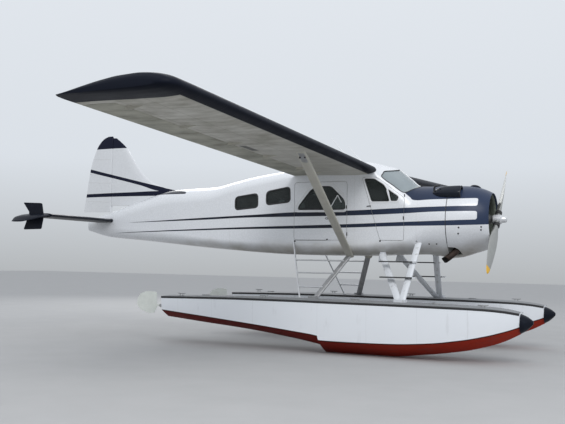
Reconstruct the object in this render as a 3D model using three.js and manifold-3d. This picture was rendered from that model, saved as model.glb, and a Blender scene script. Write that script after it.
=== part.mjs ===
// Floatplane: a high-wing, single-engined utility aircraft parked on its twin floats.
// Millimetres. +X to the nose, +Y to port, +Z up; z = 0 is the ground under the float keels.

import * as THREE from 'three';
import { mergeVertices } from 'three/addons/utils/BufferGeometryUtils.js';
import Module from 'manifold-3d';

const wasm = await Module();
wasm.setup();

// Driving dimensions
const WING_SPAN = 14630;
const WING_CHORD = 1610;
const WING_LE_X = 2140;
const WING_ROOT_Z = 3212;
const DIHEDRAL = THREE.MathUtils.degToRad(1.95);
const INCIDENCE = THREE.MathUtils.degToRad(1.8);
const CABIN_HALF_WIDTH = 650;
const CABIN_REAR_X = -850;
const FIREWALL_X = 2910;
const COWL_REAR_X = 3410;
const COWL_RADIUS = 645;
const THRUST_Z = 2345;
const NOSE_END_Z = 2302;
const PROPELLER_X = 4180;
const PROPELLER_DIAMETER = 2590;
const PROPELLER_REST = THREE.MathUtils.degToRad(43.6);
const FLOAT_Y = 1370;
const FLOOR_Z = 1930;
const ROOF_SPLIT_Z = 3045;
const TAIL_Z = 2360;
const TAIL_SPAN = 4830;

// Clearances: panels that only touch, and pieces that move past each other
const TOUCH = 0.4;
const RUNNING = 8;

// Paints and materials: colour, roughness, metalness
const finish = (color, roughness, metalness) =>
  new THREE.MeshStandardMaterial({ color, roughness, metalness });
const WHITE_PAINT = finish(0xe9ecef, 0.3, 0);
const NAVY_PAINT = finish(0x161a2e, 0.35, 0);
const BARE_METAL = finish(0xa9a9a4, 0.45, 0.8);
const CONTROL_GREY = finish(0x74756c, 0.5, 0.3);
const STRUT_GREY = finish(0xa39e92, 0.5, 0.2);
const ENGINE_METAL = finish(0x3b3c3e, 0.55, 0.7);
const RUSTY_STEEL = finish(0x5b4235, 0.85, 0.4);
const BLACK_PLASTIC = finish(0x141415, 0.5, 0);
const GLASS = finish(0x22282b, 0.1, 0);
const SEAT_CLOTH = finish(0x4a4d52, 0.9, 0);

const model = new THREE.Group();

// Solids: three.js geometry to a solid that can be joined and cut, and back
function solid(geometry) {
  const bare = new THREE.BufferGeometry();
  bare.setAttribute('position', geometry.getAttribute('position').clone());
  if (geometry.index) bare.setIndex(geometry.index.clone());
  const merged = mergeVertices(bare, 0.002);
  return new wasm.Manifold(new wasm.Mesh({
    numProp: 3,
    vertProperties: new Float32Array(merged.getAttribute('position').array),
    triVerts: new Uint32Array(merged.index.array),
  }));
}

function geometryOf(manifold) {
  const mesh = manifold.getMesh();
  const geometry = new THREE.BufferGeometry();
  geometry.setAttribute('position', new THREE.BufferAttribute(new Float32Array(mesh.vertProperties), 3));
  geometry.setIndex(new THREE.BufferAttribute(new Uint32Array(mesh.triVerts), 1));
  return geometry;
}

const join = (first, ...others) => others.reduce((whole, other) => whole.add(other), first);
const cut = (first, ...others) => others.reduce((whole, other) => whole.subtract(other), first);

// The same piece on the other side of the aircraft
function mirrored(manifold) {
  const geometry = geometryOf(manifold);
  geometry.scale(1, -1, 1);
  const index = geometry.index;
  for (let i = 0; i < index.count; i += 3) {
    const first = index.getX(i);
    index.setX(i, index.getX(i + 1));
    index.setX(i + 1, first);
  }
  return solid(geometry);
}

function add(name, manifold, material) {
  const geometry = geometryOf(manifold).toNonIndexed();
  geometry.computeVertexNormals();
  const mesh = new THREE.Mesh(geometry, material);
  mesh.name = name;
  model.add(mesh);
}

// Port piece and its mirror image to starboard
function addPair(name, manifold, material) {
  add(`${name}_left`, manifold, material);
  add(`${name}_right`, mirrored(manifold), material);
}

// Closed skin through rings of points that all have the same count
function loft(rings) {
  const count = rings[0].length;
  const positions = rings.flatMap((ring) => ring.flatMap((p) => [p.x, p.y, p.z]));
  const index = [];
  for (let r = 0; r + 1 < rings.length; r++) {
    for (let i = 0; i < count; i++) {
      const a = r * count + i;
      const b = r * count + ((i + 1) % count);
      // the diagonals of the two sides mirror each other, so both sides of a body match
      const port = rings[r][i].y + rings[r][(i + 1) % count].y >= 0;
      if (port) index.push(a, b, b + count, a, b + count, a + count);
      else index.push(a, b, a + count, b, b + count, a + count);
    }
  }
  const ends = [[rings[0], 0, true], [rings.at(-1), (rings.length - 1) * count, false]];
  for (const [ring, start, flip] of ends) {
    for (const [a, b, c] of capTriangles(ring)) {
      index.push(start + a, start + (flip ? c : b), start + (flip ? b : c));
    }
  }
  const geometry = new THREE.BufferGeometry();
  geometry.setAttribute('position', new THREE.Float32BufferAttribute(positions, 3));
  geometry.setIndex(index);
  if (signedVolume(positions, index) < 0) {
    for (let i = 0; i < index.length; i += 3) [index[i], index[i + 1]] = [index[i + 1], index[i]];
    geometry.setIndex(index);
  }
  return solid(geometry);
}

// Triangles over a flat ring, wound the way the ring runs
function capTriangles(ring) {
  const normal = new THREE.Vector3();
  ring.forEach((p, i) => normal.add(new THREE.Vector3().crossVectors(p, ring[(i + 1) % ring.length])));
  normal.normalize();
  const across = new THREE.Vector3(normal.y, normal.z, normal.x).cross(normal).normalize();
  const up = new THREE.Vector3().crossVectors(normal, across);
  const flat = ring.map((p) => new THREE.Vector2(p.dot(across), p.dot(up)));
  return THREE.ShapeUtils.triangulateShape(flat, []);
}

function signedVolume(positions, index) {
  const corner = (i) => new THREE.Vector3().fromArray(positions, 3 * i);
  let volume = 0;
  for (let i = 0; i < index.length; i += 3) {
    volume += corner(index[i]).dot(corner(index[i + 1]).cross(corner(index[i + 2])));
  }
  return volume;
}

// Prisms: an outline carried straight along one axis
const prismX = (yz, x0, x1) => loft([x0, x1].map((x) => yz.map(([y, z]) => new THREE.Vector3(x, y, z))));
const prismY = (xz, y0, y1) => loft([y0, y1].map((y) => xz.map(([x, z]) => new THREE.Vector3(x, y, z))));

function box(x0, x1, y0, y1, z0, z1) {
  const geometry = new THREE.BoxGeometry(x1 - x0, y1 - y0, z1 - z0);
  return solid(geometry.translate((x0 + x1) / 2, (y0 + y1) / 2, (z0 + z1) / 2));
}

// Round bar between two points, or a cone where the far radius differs
function bar(from, to, radius, sides = 12, farRadius = radius) {
  const a = new THREE.Vector3(...from);
  const b = new THREE.Vector3(...to);
  const geometry = new THREE.CylinderGeometry(farRadius, radius, a.distanceTo(b), sides);
  const turn = new THREE.Quaternion();
  turn.setFromUnitVectors(new THREE.Vector3(0, 1, 0), new THREE.Vector3().subVectors(b, a).normalize());
  geometry.applyQuaternion(turn);
  const middle = a.add(b).multiplyScalar(0.5);
  return solid(geometry.translate(middle.x, middle.y, middle.z));
}

// Streamlined strut between two points, its long section axis in the direction of flight
function strut(from, to, chord, thickness, sides = 12) {
  const a = new THREE.Vector3(...from);
  const b = new THREE.Vector3(...to);
  const axis = new THREE.Vector3().subVectors(b, a).normalize();
  const along = new THREE.Vector3(1, 0, 0).addScaledVector(axis, -axis.x).normalize();
  const across = new THREE.Vector3().crossVectors(axis, along);
  const ring = (end) => Array.from({ length: sides }, (_, i) => {
    const turn = (2 * Math.PI * i) / sides;
    return end.clone()
      .addScaledVector(along, (chord / 2) * Math.cos(turn))
      .addScaledVector(across, (thickness / 2) * Math.sin(turn));
  });
  return loft([ring(a), ring(b)]);
}

// Turned shape about the fore-and-aft axis, from points of station x and radius
function turned(profile, segments, y = 0, z = THRUST_Z) {
  const points = profile.map(([x, radius]) => new THREE.Vector2(radius, x));
  const geometry = new THREE.LatheGeometry(points, segments);
  geometry.rotateZ(-Math.PI / 2);
  geometry.translate(0, y, z);
  const positions = geometry.getAttribute('position').array;
  const index = [...geometry.index.array];
  if (signedVolume(positions, index) < 0) {
    for (let i = 0; i < index.length; i += 3) [index[i], index[i + 1]] = [index[i + 1], index[i]];
    geometry.setIndex(index);
  }
  return solid(geometry);
}

// Fuselage sections, rounded boxes. Columns: station x, half width, top z, bottom z,
// top corner's width and height, bottom corner's width and height
const FUSELAGE_SECTIONS = [
  [-4760, 50, 2400, 2150, 48, 100, 48, 100],
  [-4150, 170, 2545, 2012, 150, 200, 140, 190],
  [-3300, 305, 2790, 1945, 240, 280, 210, 220],
  [-2400, 435, 2990, 1868, 320, 320, 270, 220],
  [-1350, 560, 3020, 1782, 340, 290, 300, 200],
  [CABIN_REAR_X, 615, 3110, 1748, 330, 260, 300, 200],
  [-340, 645, 3200, 1714, 320, 240, 300, 200],
  [450, CABIN_HALF_WIDTH, 3300, 1680, 300, 200, 300, 200],
  [1200, CABIN_HALF_WIDTH, 3385, 1676, 260, 170, 300, 200],
  [1870, CABIN_HALF_WIDTH, 3392, 1680, 260, 170, 300, 200],
  [2060, CABIN_HALF_WIDTH, 3370, 1690, 300, 190, 310, 205],
  [2200, CABIN_HALF_WIDTH, 3340, 1697, 520, 330, 330, 215],
  [2360, CABIN_HALF_WIDTH, 3295, 1704, 620, 470, 350, 225],
  [2630, CABIN_HALF_WIDTH, 3092, 1712, 630, 540, 400, 250],
  [2810, CABIN_HALF_WIDTH, 2957, 1716, 630, 560, 450, 300],
  [FIREWALL_X, CABIN_HALF_WIDTH, 2951, 1717, 630, 590, 500, 380],
  [COWL_REAR_X, COWL_RADIUS, NOSE_END_Z + COWL_RADIUS, NOSE_END_Z - COWL_RADIUS, 645, 645, 645, 645],
];

const CORNER_STEPS = 4;
function fuselageRing(x, halfWidth, top, bottom, topW, topH, bottomW, bottomH) {
  const corners = [
    [halfWidth - topW, top - topH, topW, topH, 0],
    [-(halfWidth - topW), top - topH, topW, topH, 1],
    [-(halfWidth - bottomW), bottom + bottomH, bottomW, bottomH, 2],
    [halfWidth - bottomW, bottom + bottomH, bottomW, bottomH, 3],
  ];
  return corners.flatMap(([y, z, w, h, quarter]) => Array.from({ length: CORNER_STEPS + 1 }, (_, i) => {
    const turn = (Math.PI / 2) * (quarter + i / CORNER_STEPS);
    // flat tops and bottoms keep a millimetre, so no two points meet
    const aside = quarter === 0 || quarter === 3 ? 0.5 : -0.5;
    const apart = quarter < 2 ? 0.5 : -0.5;
    return new THREE.Vector3(x, y + w * Math.cos(turn) + aside, z + h * Math.sin(turn) + apart);
  }));
}

// Outer shape of the fuselage between two stations, grown or shrunk by an offset
function fuselage(fromX, toX, offset = 0, sections = FUSELAGE_SECTIONS) {
  const at = (x) => {
    let i = sections.findIndex((section) => section[0] >= x);
    i = i < 1 ? 1 : i;
    const [low, high] = [sections[i - 1], sections[i]];
    const t = (x - low[0]) / (high[0] - low[0]);
    return low.map((value, k) => value + t * (high[k] - value));
  };
  const inner = sections.filter((section) => section[0] > fromX + 1 && section[0] < toX - 1);
  return loft([at(fromX), ...inner, at(toX)].map(([x, w, top, bottom, ...corners]) =>
    fuselageRing(x, w + offset, top + offset, bottom - offset, ...corners.map((size) => size + offset))));
}

// Room inside the cabin, same columns: its ceiling lies under the wing's centre section
const CABIN_SECTIONS = [
  [-900, 572, 3020, FLOOR_Z - 40, 200, 160, 30, 30],
  [-340, 605, 3105, FLOOR_Z - 40, 200, 120, 30, 30],
  [450, 610, 3130, FLOOR_Z - 40, 150, 80, 30, 30],
  [2000, 610, 3140, FLOOR_Z - 40, 150, 80, 30, 30],
  [2200, 610, 3250, FLOOR_Z - 40, 480, 290, 30, 30],
  [2360, 610, 3245, FLOOR_Z - 40, 580, 430, 30, 30],
  [2630, 610, 3045, FLOOR_Z - 40, 590, 500, 30, 30],
  [2810, 610, 2912, FLOOR_Z - 40, 590, 520, 30, 30],
  [FIREWALL_X + 20, 610, 2905, FLOOR_Z - 40, 590, 550, 30, 30],
];

const cabinOuter = fuselage(CABIN_REAR_X, FIREWALL_X - TOUCH);
const cabinRoom = fuselage(-900, FIREWALL_X + 20, 0, CABIN_SECTIONS);
const cabinShell = cut(cabinOuter, cabinRoom);

// Door outlines (x, z), seen from the side; the front edge carries the hinges
const CREW_HINGE_X = 2680;
const CREW_DOOR = [[2236, 1945], [CREW_HINGE_X, 1945], [CREW_HINGE_X, 2700], [2170, 3090], [1885, 3090]];
const CABIN_HINGE_X = 1605;
const CABIN_DOOR = [[545, 1945], [CABIN_HINGE_X, 1945], [CABIN_HINGE_X, 3030], [545, 3030]];

// Window outlines (x, z)
const CREW_WINDOW = [[2101, 2655], [2408, 2650], [2343, 2831], [2096, 3057], [1932, 3061]];
const QUARTER_WINDOW = [[2437, 2659], [2548, 2657], [2562, 2720], [2369, 2857]];
const CABIN_WINDOW = [
  [624, 2515], [1574, 2512], [1545, 2685], [1285, 2938], [1020, 2943], [883, 2880], [643, 2588],
];
const SIDE_WINDOWS = [
  [[-732, 2528], [-226, 2570], [-234, 2838], [-732, 2775]],
  [[-43, 2614], [460, 2666], [448, 2950], [-43, 2866]],
];

// Outline moved inwards by a distance, for a door in its opening
function inset(outline, distance) {
  const shape = outline.map(([x, z]) => new THREE.Vector2(x, z));
  const turning = Math.sign(THREE.ShapeUtils.area(shape));
  return shape.map((p, i) => {
    const before = shape[(i + shape.length - 1) % shape.length];
    const after = shape[(i + 1) % shape.length];
    const e1 = p.clone().sub(before).normalize();
    const e2 = after.clone().sub(p).normalize();
    const n1 = new THREE.Vector2(-e1.y, e1.x).multiplyScalar(turning);
    const n2 = new THREE.Vector2(-e2.y, e2.x).multiplyScalar(turning);
    const bisector = n1.add(n2);
    const scale = (2 * distance) / bisector.lengthSq();
    return [p.x + bisector.x * scale, p.y + bisector.y * scale];
  });
}

const SIDE_REACH = 900;
const through = (outline) => prismY(outline, 300, SIDE_REACH);

// Windscreen opening, seen from the front: outline (y, z)
const WINDSCREEN = [
  [-578, 2790], [-408, 2868], [-190, 2936], [0, 2960], [190, 2936], [408, 2868], [578, 2790],
  [602, 2960], [612, 3110], [500, 3207], [0, 3281], [-500, 3207], [-612, 3110], [-602, 2960],
];
const windscreenHole = prismX(WINDSCREEN, 2150, 2890);
const NOSE_DECK_X = 2210;
const NOSE_DECK_Z = 2760;
const noseDeckRegion = box(NOSE_DECK_X, FIREWALL_X + 30, -700, 700, NOSE_DECK_Z, ROOF_SPLIT_Z - TOUCH);

// Cabin: belly and floor, two sides with their door and window openings, roof with the wing's centre section
const doorHoles = join(through(CREW_DOOR), through(CABIN_DOOR));
const windowHoles = join(...SIDE_WINDOWS.map(through));
const bellyRegion = box(-1000, 3000, -800, 800, 1500, FLOOR_Z);
const roofRegion = box(-1000, 2600, -800, 800, ROOF_SPLIT_Z, 3600);
const sideRegion = box(-1000, 3000, TOUCH, 800, FLOOR_Z + TOUCH, ROOF_SPLIT_Z - TOUCH);

add('cabin_floor', cabinOuter.intersect(bellyRegion), WHITE_PAINT);
const openings = join(doorHoles, mirrored(doorHoles), windscreenHole);
add('cabin_roof', cut(cabinShell.intersect(roofRegion), openings), WHITE_PAINT);
const noseDeckGap = box(NOSE_DECK_X - TOUCH, 3000, -800, 800, NOSE_DECK_Z - TOUCH, 3300);
const side = cut(cabinShell.intersect(sideRegion), doorHoles, windowHoles, windscreenHole, noseDeckGap);
addPair('cabin_side', side, WHITE_PAINT);

// Windscreen glass follows the skin, set into the middle of the wall
const windscreenGlass = cut(fuselage(2100, 2900, -12), fuselage(2090, 2905, -20))
  .intersect(prismX(inset(WINDSCREEN, TOUCH), 2120, 2888));
add('windshield', windscreenGlass, GLASS);

// Side glass: one sheet behind both side windows, against the inner face of the wall
const GLASS_THICKNESS = 5;
const roomSkin = cut(
  fuselage(-895, 2900, -1, CABIN_SECTIONS),
  fuselage(-899, 2904, -1 - GLASS_THICKNESS, CABIN_SECTIONS),
);
const glassSheet = (outline) => roomSkin.intersect(through(outline));
const SIDE_GLASS = [[-800, 2480], [500, 2560], [500, 3010], [-150, 2960], [-800, 2830]];
const CREW_GLASS = [[2065, 2600], [2640, 2600], [2640, 2690], [2150, 3068], [1917, 3072]];
const CABIN_GLASS = [[590, 2480], [1590, 2480], [1590, 2980], [590, 2980]];
addPair('side_glass', glassSheet(SIDE_GLASS), GLASS);

// Nose: firewall to cowling, with the deck and the pillars around the windscreen
const noseDeck = cut(fuselage(NOSE_DECK_X, FIREWALL_X), cabinRoom, openings);
const nose = join(fuselage(FIREWALL_X, COWL_REAR_X - TOUCH), noseDeck.intersect(noseDeckRegion));
add('nose_section', nose, WHITE_PAINT);

// Doors: panels of the cabin side with a running gap all round, and their glass behind
function door(outline, windows) {
  const panel = cabinShell.intersect(through(inset(outline, RUNNING - 2)));
  return cut(panel, ...windows.map(through));
}
addPair('crew_door', door(CREW_DOOR, [CREW_WINDOW, QUARTER_WINDOW]), WHITE_PAINT);
addPair('cabin_door', door(CABIN_DOOR, [CABIN_WINDOW]), WHITE_PAINT);
addPair('crew_door_glass', glassSheet(CREW_GLASS), GLASS);
addPair('cabin_door_glass', glassSheet(CABIN_GLASS), GLASS);

// Rear fuselage: a shell with the cabin's rear wall and its baggage hatch
const REAR_ROOM = [
  [-4000, 170, 2560, 2038, 140, 180, 120, 160],
  [-3300, 285, 2770, 1965, 225, 265, 195, 205],
  [-2400, 415, 2970, 1888, 305, 305, 255, 205],
  [-1350, 540, 3000, 1802, 325, 275, 285, 185],
  [CABIN_REAR_X - 20, 590, 3084, 1770, 315, 245, 285, 185],
];
const rearShell = cut(fuselage(-4760, CABIN_REAR_X - TOUCH),
  fuselage(-4000, CABIN_REAR_X - 20, 0, REAR_ROOM),
  box(CABIN_REAR_X - 100, CABIN_REAR_X + 10, -250, 250, 2250, 2750));

// Tailplane, one piece through the fuselage, with the elevator's hinge line behind it
const TAIL_LE_X = -3970;
const ELEVATOR_HINGE_X = -4420;
const ELEVATOR_TE_X = -4770;
const TAIL_HALF_THICKNESS = 40;
const TAIL_END_Y = 2135;
const tailSpar = ELEVATOR_HINGE_X + TAIL_HALF_THICKNESS + RUNNING;
const tailOutline = (grow = 0) => {
  const half = TAIL_HALF_THICKNESS + grow;
  const upper = [[TAIL_LE_X - 35 + grow, 25 + grow], [TAIL_LE_X - 150, half], [tailSpar - grow, half]];
  const lower = upper.map(([x, z]) => [x, -z]).reverse();
  return [[TAIL_LE_X + grow, 0], ...upper, ...lower].map(([x, z]) => [x, TAIL_Z + z]);
};
const tailplane = prismY(tailOutline(), -TAIL_END_Y, TAIL_END_Y);
const tubeHole = bar([ELEVATOR_HINGE_X, -400, TAIL_Z], [ELEVATOR_HINGE_X, 400, TAIL_Z], 29, 16);
add('rear_fuselage', cut(rearShell, prismY(tailOutline(TOUCH), -400, 400), tubeHole), WHITE_PAINT);
add('tailplane', tailplane, NAVY_PAINT);

// Round-nosed control surface: its nose is centred on the hinge, its trailing edge is thin
function surfaceOutline(hingeX, hingeZ, radius, edgeX, edgeZ, edgeHalf) {
  const points = Array.from({ length: 7 }, (_, i) => {
    const turn = Math.PI / 2 - (Math.PI * i) / 6;
    return [hingeX + radius * Math.cos(turn), hingeZ + radius * Math.sin(turn)];
  });
  return [...points, [edgeX, edgeZ - edgeHalf], [edgeX, edgeZ + edgeHalf]];
}
const ELEVATOR_ROOT_Y = 175;
const ELEVATOR_END_Y = TAIL_END_Y - RUNNING;
const elevatorOutline =
  surfaceOutline(ELEVATOR_HINGE_X, TAIL_Z, TAIL_HALF_THICKNESS, ELEVATOR_TE_X, TAIL_Z, 6);
const elevatorHalf = prismY(elevatorOutline, ELEVATOR_ROOT_Y, ELEVATOR_END_Y);
const torqueTube = bar([ELEVATOR_HINGE_X, -200, TAIL_Z], [ELEVATOR_HINGE_X, 200, TAIL_Z], 22, 16);
add('elevator', join(elevatorHalf, torqueTube, mirrored(elevatorHalf)), CONTROL_GREY);

// Finlets: end plates of the tailplane, with the swept tips outboard of them
const FINLET = [[-4170, 2346], [-4225, 2602], [-4683, 2619], [-4520, 2420], [-4657, 2081], [-4222, 2091]];
const finletPlate = prismY(FINLET, TAIL_END_Y + TOUCH, TAIL_END_Y + 30);
const tipRing = (y, le, te, half, droop) => {
  const upper = [[le - 40, half], [(le + te) / 2, half * 1.1], [te, 5]];
  const lower = upper.map(([x, z]) => [x, -z]).reverse();
  return [[le, 0], ...upper, ...lower].map(([x, z]) => new THREE.Vector3(x, y, TAIL_Z - droop + z));
};
const tailTip = loft([
  tipRing(TAIL_END_Y + 25, -3985, ELEVATOR_TE_X, 34, 0),
  tipRing(2290, -4080, -4775, 32, 40),
  tipRing(TAIL_SPAN / 2, -4420, -4740, 12, 125),
]);
addPair('finlet', join(finletPlate, tailTip), NAVY_PAINT);

// Fin, with its dorsal fillet, and rudder. Fin columns: height z, leading edge x, half thickness
const RUDDER_HINGE_X = -4205;
const RUDDER_RADIUS = 38;
const FIN_SECTIONS = [
  [2700, -2350, 38], [2990, -2480, 38], [3061, -2791, 38], [3232, -3181, 38], [3479, -3450, 37],
  [3851, -3727, 35], [3965, -3812, 34], [4110, -3980, 31], [4192, -4090, 26],
];
const finRear = RUDDER_HINGE_X + RUDDER_RADIUS + RUNNING;
const fin = loft(FIN_SECTIONS.map(([z, le, half]) => {
  const chord = le - finRear;
  return [[le, 0], [le - 0.05 * chord, 0.45 * half], [le - 0.35 * chord, half], [finRear, half],
    [finRear, -half], [le - 0.35 * chord, -half], [le - 0.05 * chord, -0.45 * half],
  ].map(([x, y]) => new THREE.Vector3(x, y, z));
}));
add('vertical_fin', cut(fin, fuselage(-4759, -900, TOUCH)), WHITE_PAINT);

// Rudder columns: height z, trailing edge x, nose radius
const RUDDER_SECTIONS = [
  [2562, -4934, RUDDER_RADIUS], [2951, -4867, RUDDER_RADIUS], [3511, -4778, 37], [3978, -4616, 34],
  [4109, -4524, 31], [4195, -4420, 26], [4238, -4310, 12],
];
const rudder = loft(RUDDER_SECTIONS.map(([z, edge, radius]) => {
  const nose = Array.from({ length: 7 }, (_, i) => {
    const turn = Math.PI / 2 - (Math.PI * i) / 6;
    return [RUDDER_HINGE_X + radius * Math.cos(turn), radius * Math.sin(turn)];
  });
  return [...nose, [edge, -5], [edge, 5]].map(([x, y]) => new THREE.Vector3(x, y, z));
}));
add('rudder', rudder, WHITE_PAINT);

// What meets the fuselage is cut back to its skin
const fuselageCutter = fuselage(-840, COWL_REAR_X, TOUCH);

// Wing section. Columns: part of the chord, upper and lower surface as parts of the chord
const AIRFOIL = [
  [0, 0, 0], [0.0125, 0.0307, -0.0179], [0.05, 0.0574, -0.0327], [0.1, 0.0784, -0.0398],
  [0.2, 0.1025, -0.0415], [0.3, 0.1125, -0.0375], [0.45, 0.11, -0.03], [0.6, 0.093, -0.0214],
  [0.672, 0.0812, -0.0172], [0.8, 0.0555, -0.0103], [0.9, 0.0308, -0.0057], [1, 0.003, -0.003],
];
const HINGE_PART = 0.72;
const SPAR_PART = 0.672;
function airfoilOutline(chord, rearPart, leX = WING_LE_X, z0 = 0, thick = 1) {
  const rows = AIRFOIL.filter(([part]) => part <= rearPart + 1e-6);
  const upper = rows.map(([part, up]) => [leX - part * chord, z0 + up * chord * thick]);
  const lower = rows.slice(1).map(([part, , low]) => [leX - part * chord, z0 + low * chord * thick]);
  return [...upper, ...lower.reverse()];
}

// The wing is drawn level, set at its incidence about the leading edge,
// then swung up about the cabin's side by its dihedral
const dihedral = (manifold) => {
  const geometry = geometryOf(manifold);
  geometry.translate(-WING_LE_X, -CABIN_HALF_WIDTH, 0);
  geometry.rotateY(-INCIDENCE);
  geometry.translate(WING_LE_X, 0, 0);
  geometry.rotateX(DIHEDRAL);
  geometry.translate(0, CABIN_HALF_WIDTH, WING_ROOT_Z);
  return solid(geometry);
};
const FLAP_ROOT_Y = 690;
const FLAP_END_Y = 3700;
const AILERON_ROOT_Y = FLAP_END_Y + 12;
const AILERON_END_Y = 6800;
const WING_END_Y = WING_SPAN / 2;
const wingBox = prismY(airfoilOutline(WING_CHORD, SPAR_PART), 400, AILERON_END_Y + RUNNING);
const rootFillet = prismY(airfoilOutline(WING_CHORD, 1), 400, FLAP_ROOT_Y - RUNNING);
const WING_TIP = [
  // span y, leading edge set back, trailing edge set forward, thickness factor
  [AILERON_END_Y + RUNNING, 0, 0, 1], [7080, 10, 0, 1], [7240, 60, 12, 0.85], [WING_END_Y, 190, 45, 0.35],
];
const wingTip = loft(WING_TIP.map(([y, back, forward, thick]) => {
  const chord = WING_CHORD - back - forward;
  const outline = airfoilOutline(chord, 1, WING_LE_X - back, 0, (thick * WING_CHORD) / chord);
  return outline.map(([x, z]) => new THREE.Vector3(x, y, z));
}));
const wing = cut(dihedral(join(wingBox, rootFillet, wingTip)), fuselageCutter);
addPair('wing', wing, BARE_METAL);

const hingeX = WING_LE_X - HINGE_PART * WING_CHORD;
const hingeUp = 0.0712 * WING_CHORD;
const hingeLow = -0.0145 * WING_CHORD;
const hingeRadius = (hingeUp - hingeLow) / 2;
const hingeZ = (hingeUp + hingeLow) / 2;
const trailing = surfaceOutline(hingeX, hingeZ, hingeRadius, WING_LE_X - WING_CHORD, 0, 5);
addPair('flap', dihedral(prismY(trailing, FLAP_ROOT_Y, FLAP_END_Y)), CONTROL_GREY);
addPair('aileron', dihedral(prismY(trailing, AILERON_ROOT_Y, AILERON_END_Y)), CONTROL_GREY);

// Wing struts, from the lower cabin side to the wing
const STRUT_LINE = [[1618, 500, 1660], [1800, 3290, 3300]];
const underWing = airfoilOutline(WING_CHORD, 1).map(([x, z]) => [x, z > 0 ? z : z - TOUCH]);
const wingCutter = dihedral(join(prismY(underWing, 1000, 6000), box(0, 3000, 1000, 6000, 0, 600)));
addPair('wing_strut', cut(strut(...STRUT_LINE, 175, 62, 16), fuselageCutter, wingCutter), STRUT_GREY);

// Floats. Columns: station x, keel z, chine z, gunwale z, chine half width, gunwale half width
const FLOAT_SECTIONS = [
  [-1700, 467, 603, 842, 265, 290], [-1020, 404, 553, 858, 350, 372], [40, 311, 462, 874, 408, 428],
  [1030, 187, 363, 875, 420, 440], [1534, 100, 300, 872, 420, 440], [1536, 0, 230, 872, 420, 440],
  [2700, 0, 236, 868, 418, 438], [3300, 62, 270, 864, 408, 430], [3900, 155, 350, 858, 380, 405],
  [4250, 240, 422, 850, 335, 362], [4560, 350, 508, 828, 260, 290], [4800, 475, 592, 790, 150, 180],
];
const KEEL_HALF = 22;
const DECK_RISE = 26;
function floatSolid(grow = 0) {
  return loft(FLOAT_SECTIONS.map(([x, keel, chine, gunwale, chineY, gunwaleY], i) => {
    const end = i === 0 ? -grow : i === FLOAT_SECTIONS.length - 1 ? grow : 0;
    return [
      [KEEL_HALF, keel - grow], [chineY + grow, chine], [gunwaleY + grow, gunwale],
      [gunwaleY * 0.82, gunwale + DECK_RISE + grow], [-gunwaleY * 0.82, gunwale + DECK_RISE + grow],
      [-gunwaleY - grow, gunwale], [-chineY - grow, chine], [-KEEL_HALF, keel - grow],
    ].map(([y, z]) => new THREE.Vector3(x + end, FLOAT_Y + y, z));
  }));
}
const floatHull = floatSolid();
const floatCutter = floatSolid(TOUCH);

// Bow bumper: rounded block on the float's tip
const BUMPER_SECTIONS = [
  // station x, top z, bottom z, half width
  [4800 + TOUCH, 790, 480, 172], [4900, 775, 545, 135], [4965, 735, 600, 85], [4988, 705, 630, 45],
];
const bumper = loft(BUMPER_SECTIONS.map(([x, top, bottom, half]) => {
  const middle = (top + bottom) / 2;
  const rise = (top - bottom) / 2;
  return Array.from({ length: 12 }, (_, i) => {
    const turn = (2 * Math.PI * i) / 12;
    return new THREE.Vector3(x, FLOAT_Y + half * Math.cos(turn), middle + rise * Math.sin(turn));
  });
}));
addPair('bow_bumper', bumper, NAVY_PAINT);

// Water rudder, raised: lugs on the float, a post that steers, and a blade that lifts
const POST_X = -1790;
const POST_RADIUS = 18;
const POST_LOW = 560;
const POST_HIGH = 760;
const lug = (z) => join(box(POST_X, -1690, FLOAT_Y - 26, FLOAT_Y + 26, z, z + 16),
  bar([POST_X, FLOAT_Y, z], [POST_X, FLOAT_Y, z + 16], 26, 16));
const coverTop = 905;
const deckCovers = [3450, 350, -900].map((x) =>
  bar([x, FLOAT_Y, coverTop - 40], [x, FLOAT_Y, coverTop], 75, 20));
const hull = join(floatHull, lug(POST_LOW - 24), lug(POST_HIGH + 8), ...deckCovers);
addPair('float', hull, WHITE_PAINT);
const BLADE_PIVOT = [-1905, 660];
const FORK_GAP = 12;
const FORK = [[POST_X, 625], [POST_X, 695], [-1905, 690], [-1935, 660], [-1905, 630]];
const fork = (y) => prismY(FORK, y, y + 8);
const post = join(
  bar([POST_X, FLOAT_Y, POST_LOW], [POST_X, FLOAT_Y, POST_HIGH], POST_RADIUS, 16),
  box(POST_X - 60, POST_X, FLOAT_Y - FORK_GAP - 8, FLOAT_Y + FORK_GAP + 8, 625, 695),
  fork(FLOAT_Y + FORK_GAP), fork(FLOAT_Y - FORK_GAP - 8));
addPair('water_rudder_post', post, BARE_METAL);
const BLADE = [
  [-1870, 640], [-1870, 680], [-1960, 720], [-2010, 880], [-2060, 915], [-2225, 924], [-2370, 875],
  [-2440, 770], [-2445, 660], [-2376, 571], [-2164, 503], [-2040, 515], [-1975, 600],
];
addPair('water_rudder_blade', prismY(BLADE, FLOAT_Y - 6, FLOAT_Y + 6), WHITE_PAINT);

// Float struts: the front pair is a V with two boarding steps, the rear one is single
const DECK_Z = 896;
const rearLeg = strut([2812, 1290, DECK_Z - 60], [2240, 520, 1700], 118, 48);
const frontLeg = strut([2830, 1290, DECK_Z - 60], [2925, 520, 1960], 118, 48);
const stepPlate = (z, y, x0, x1) => box(x0, x1, y - 45, y + 45, z, z + 22);
const frontStrut = cut(join(rearLeg, frontLeg,
  box(2720, 2920, 1230, 1350, DECK_Z - 60, DECK_Z + 45),
  stepPlate(1560, 815, 2290, 2960), stepPlate(1290, 1010, 2370, 3010)), fuselageCutter, floatCutter);
addPair('front_float_strut', frontStrut, WHITE_PAINT);
const rearLine = [[1175, 1180, DECK_Z - 60], [1605, 526, 1662]];
const rearFoot = box(1110, 1260, 1120, 1240, DECK_Z - 60, DECK_Z + 40);
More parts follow.
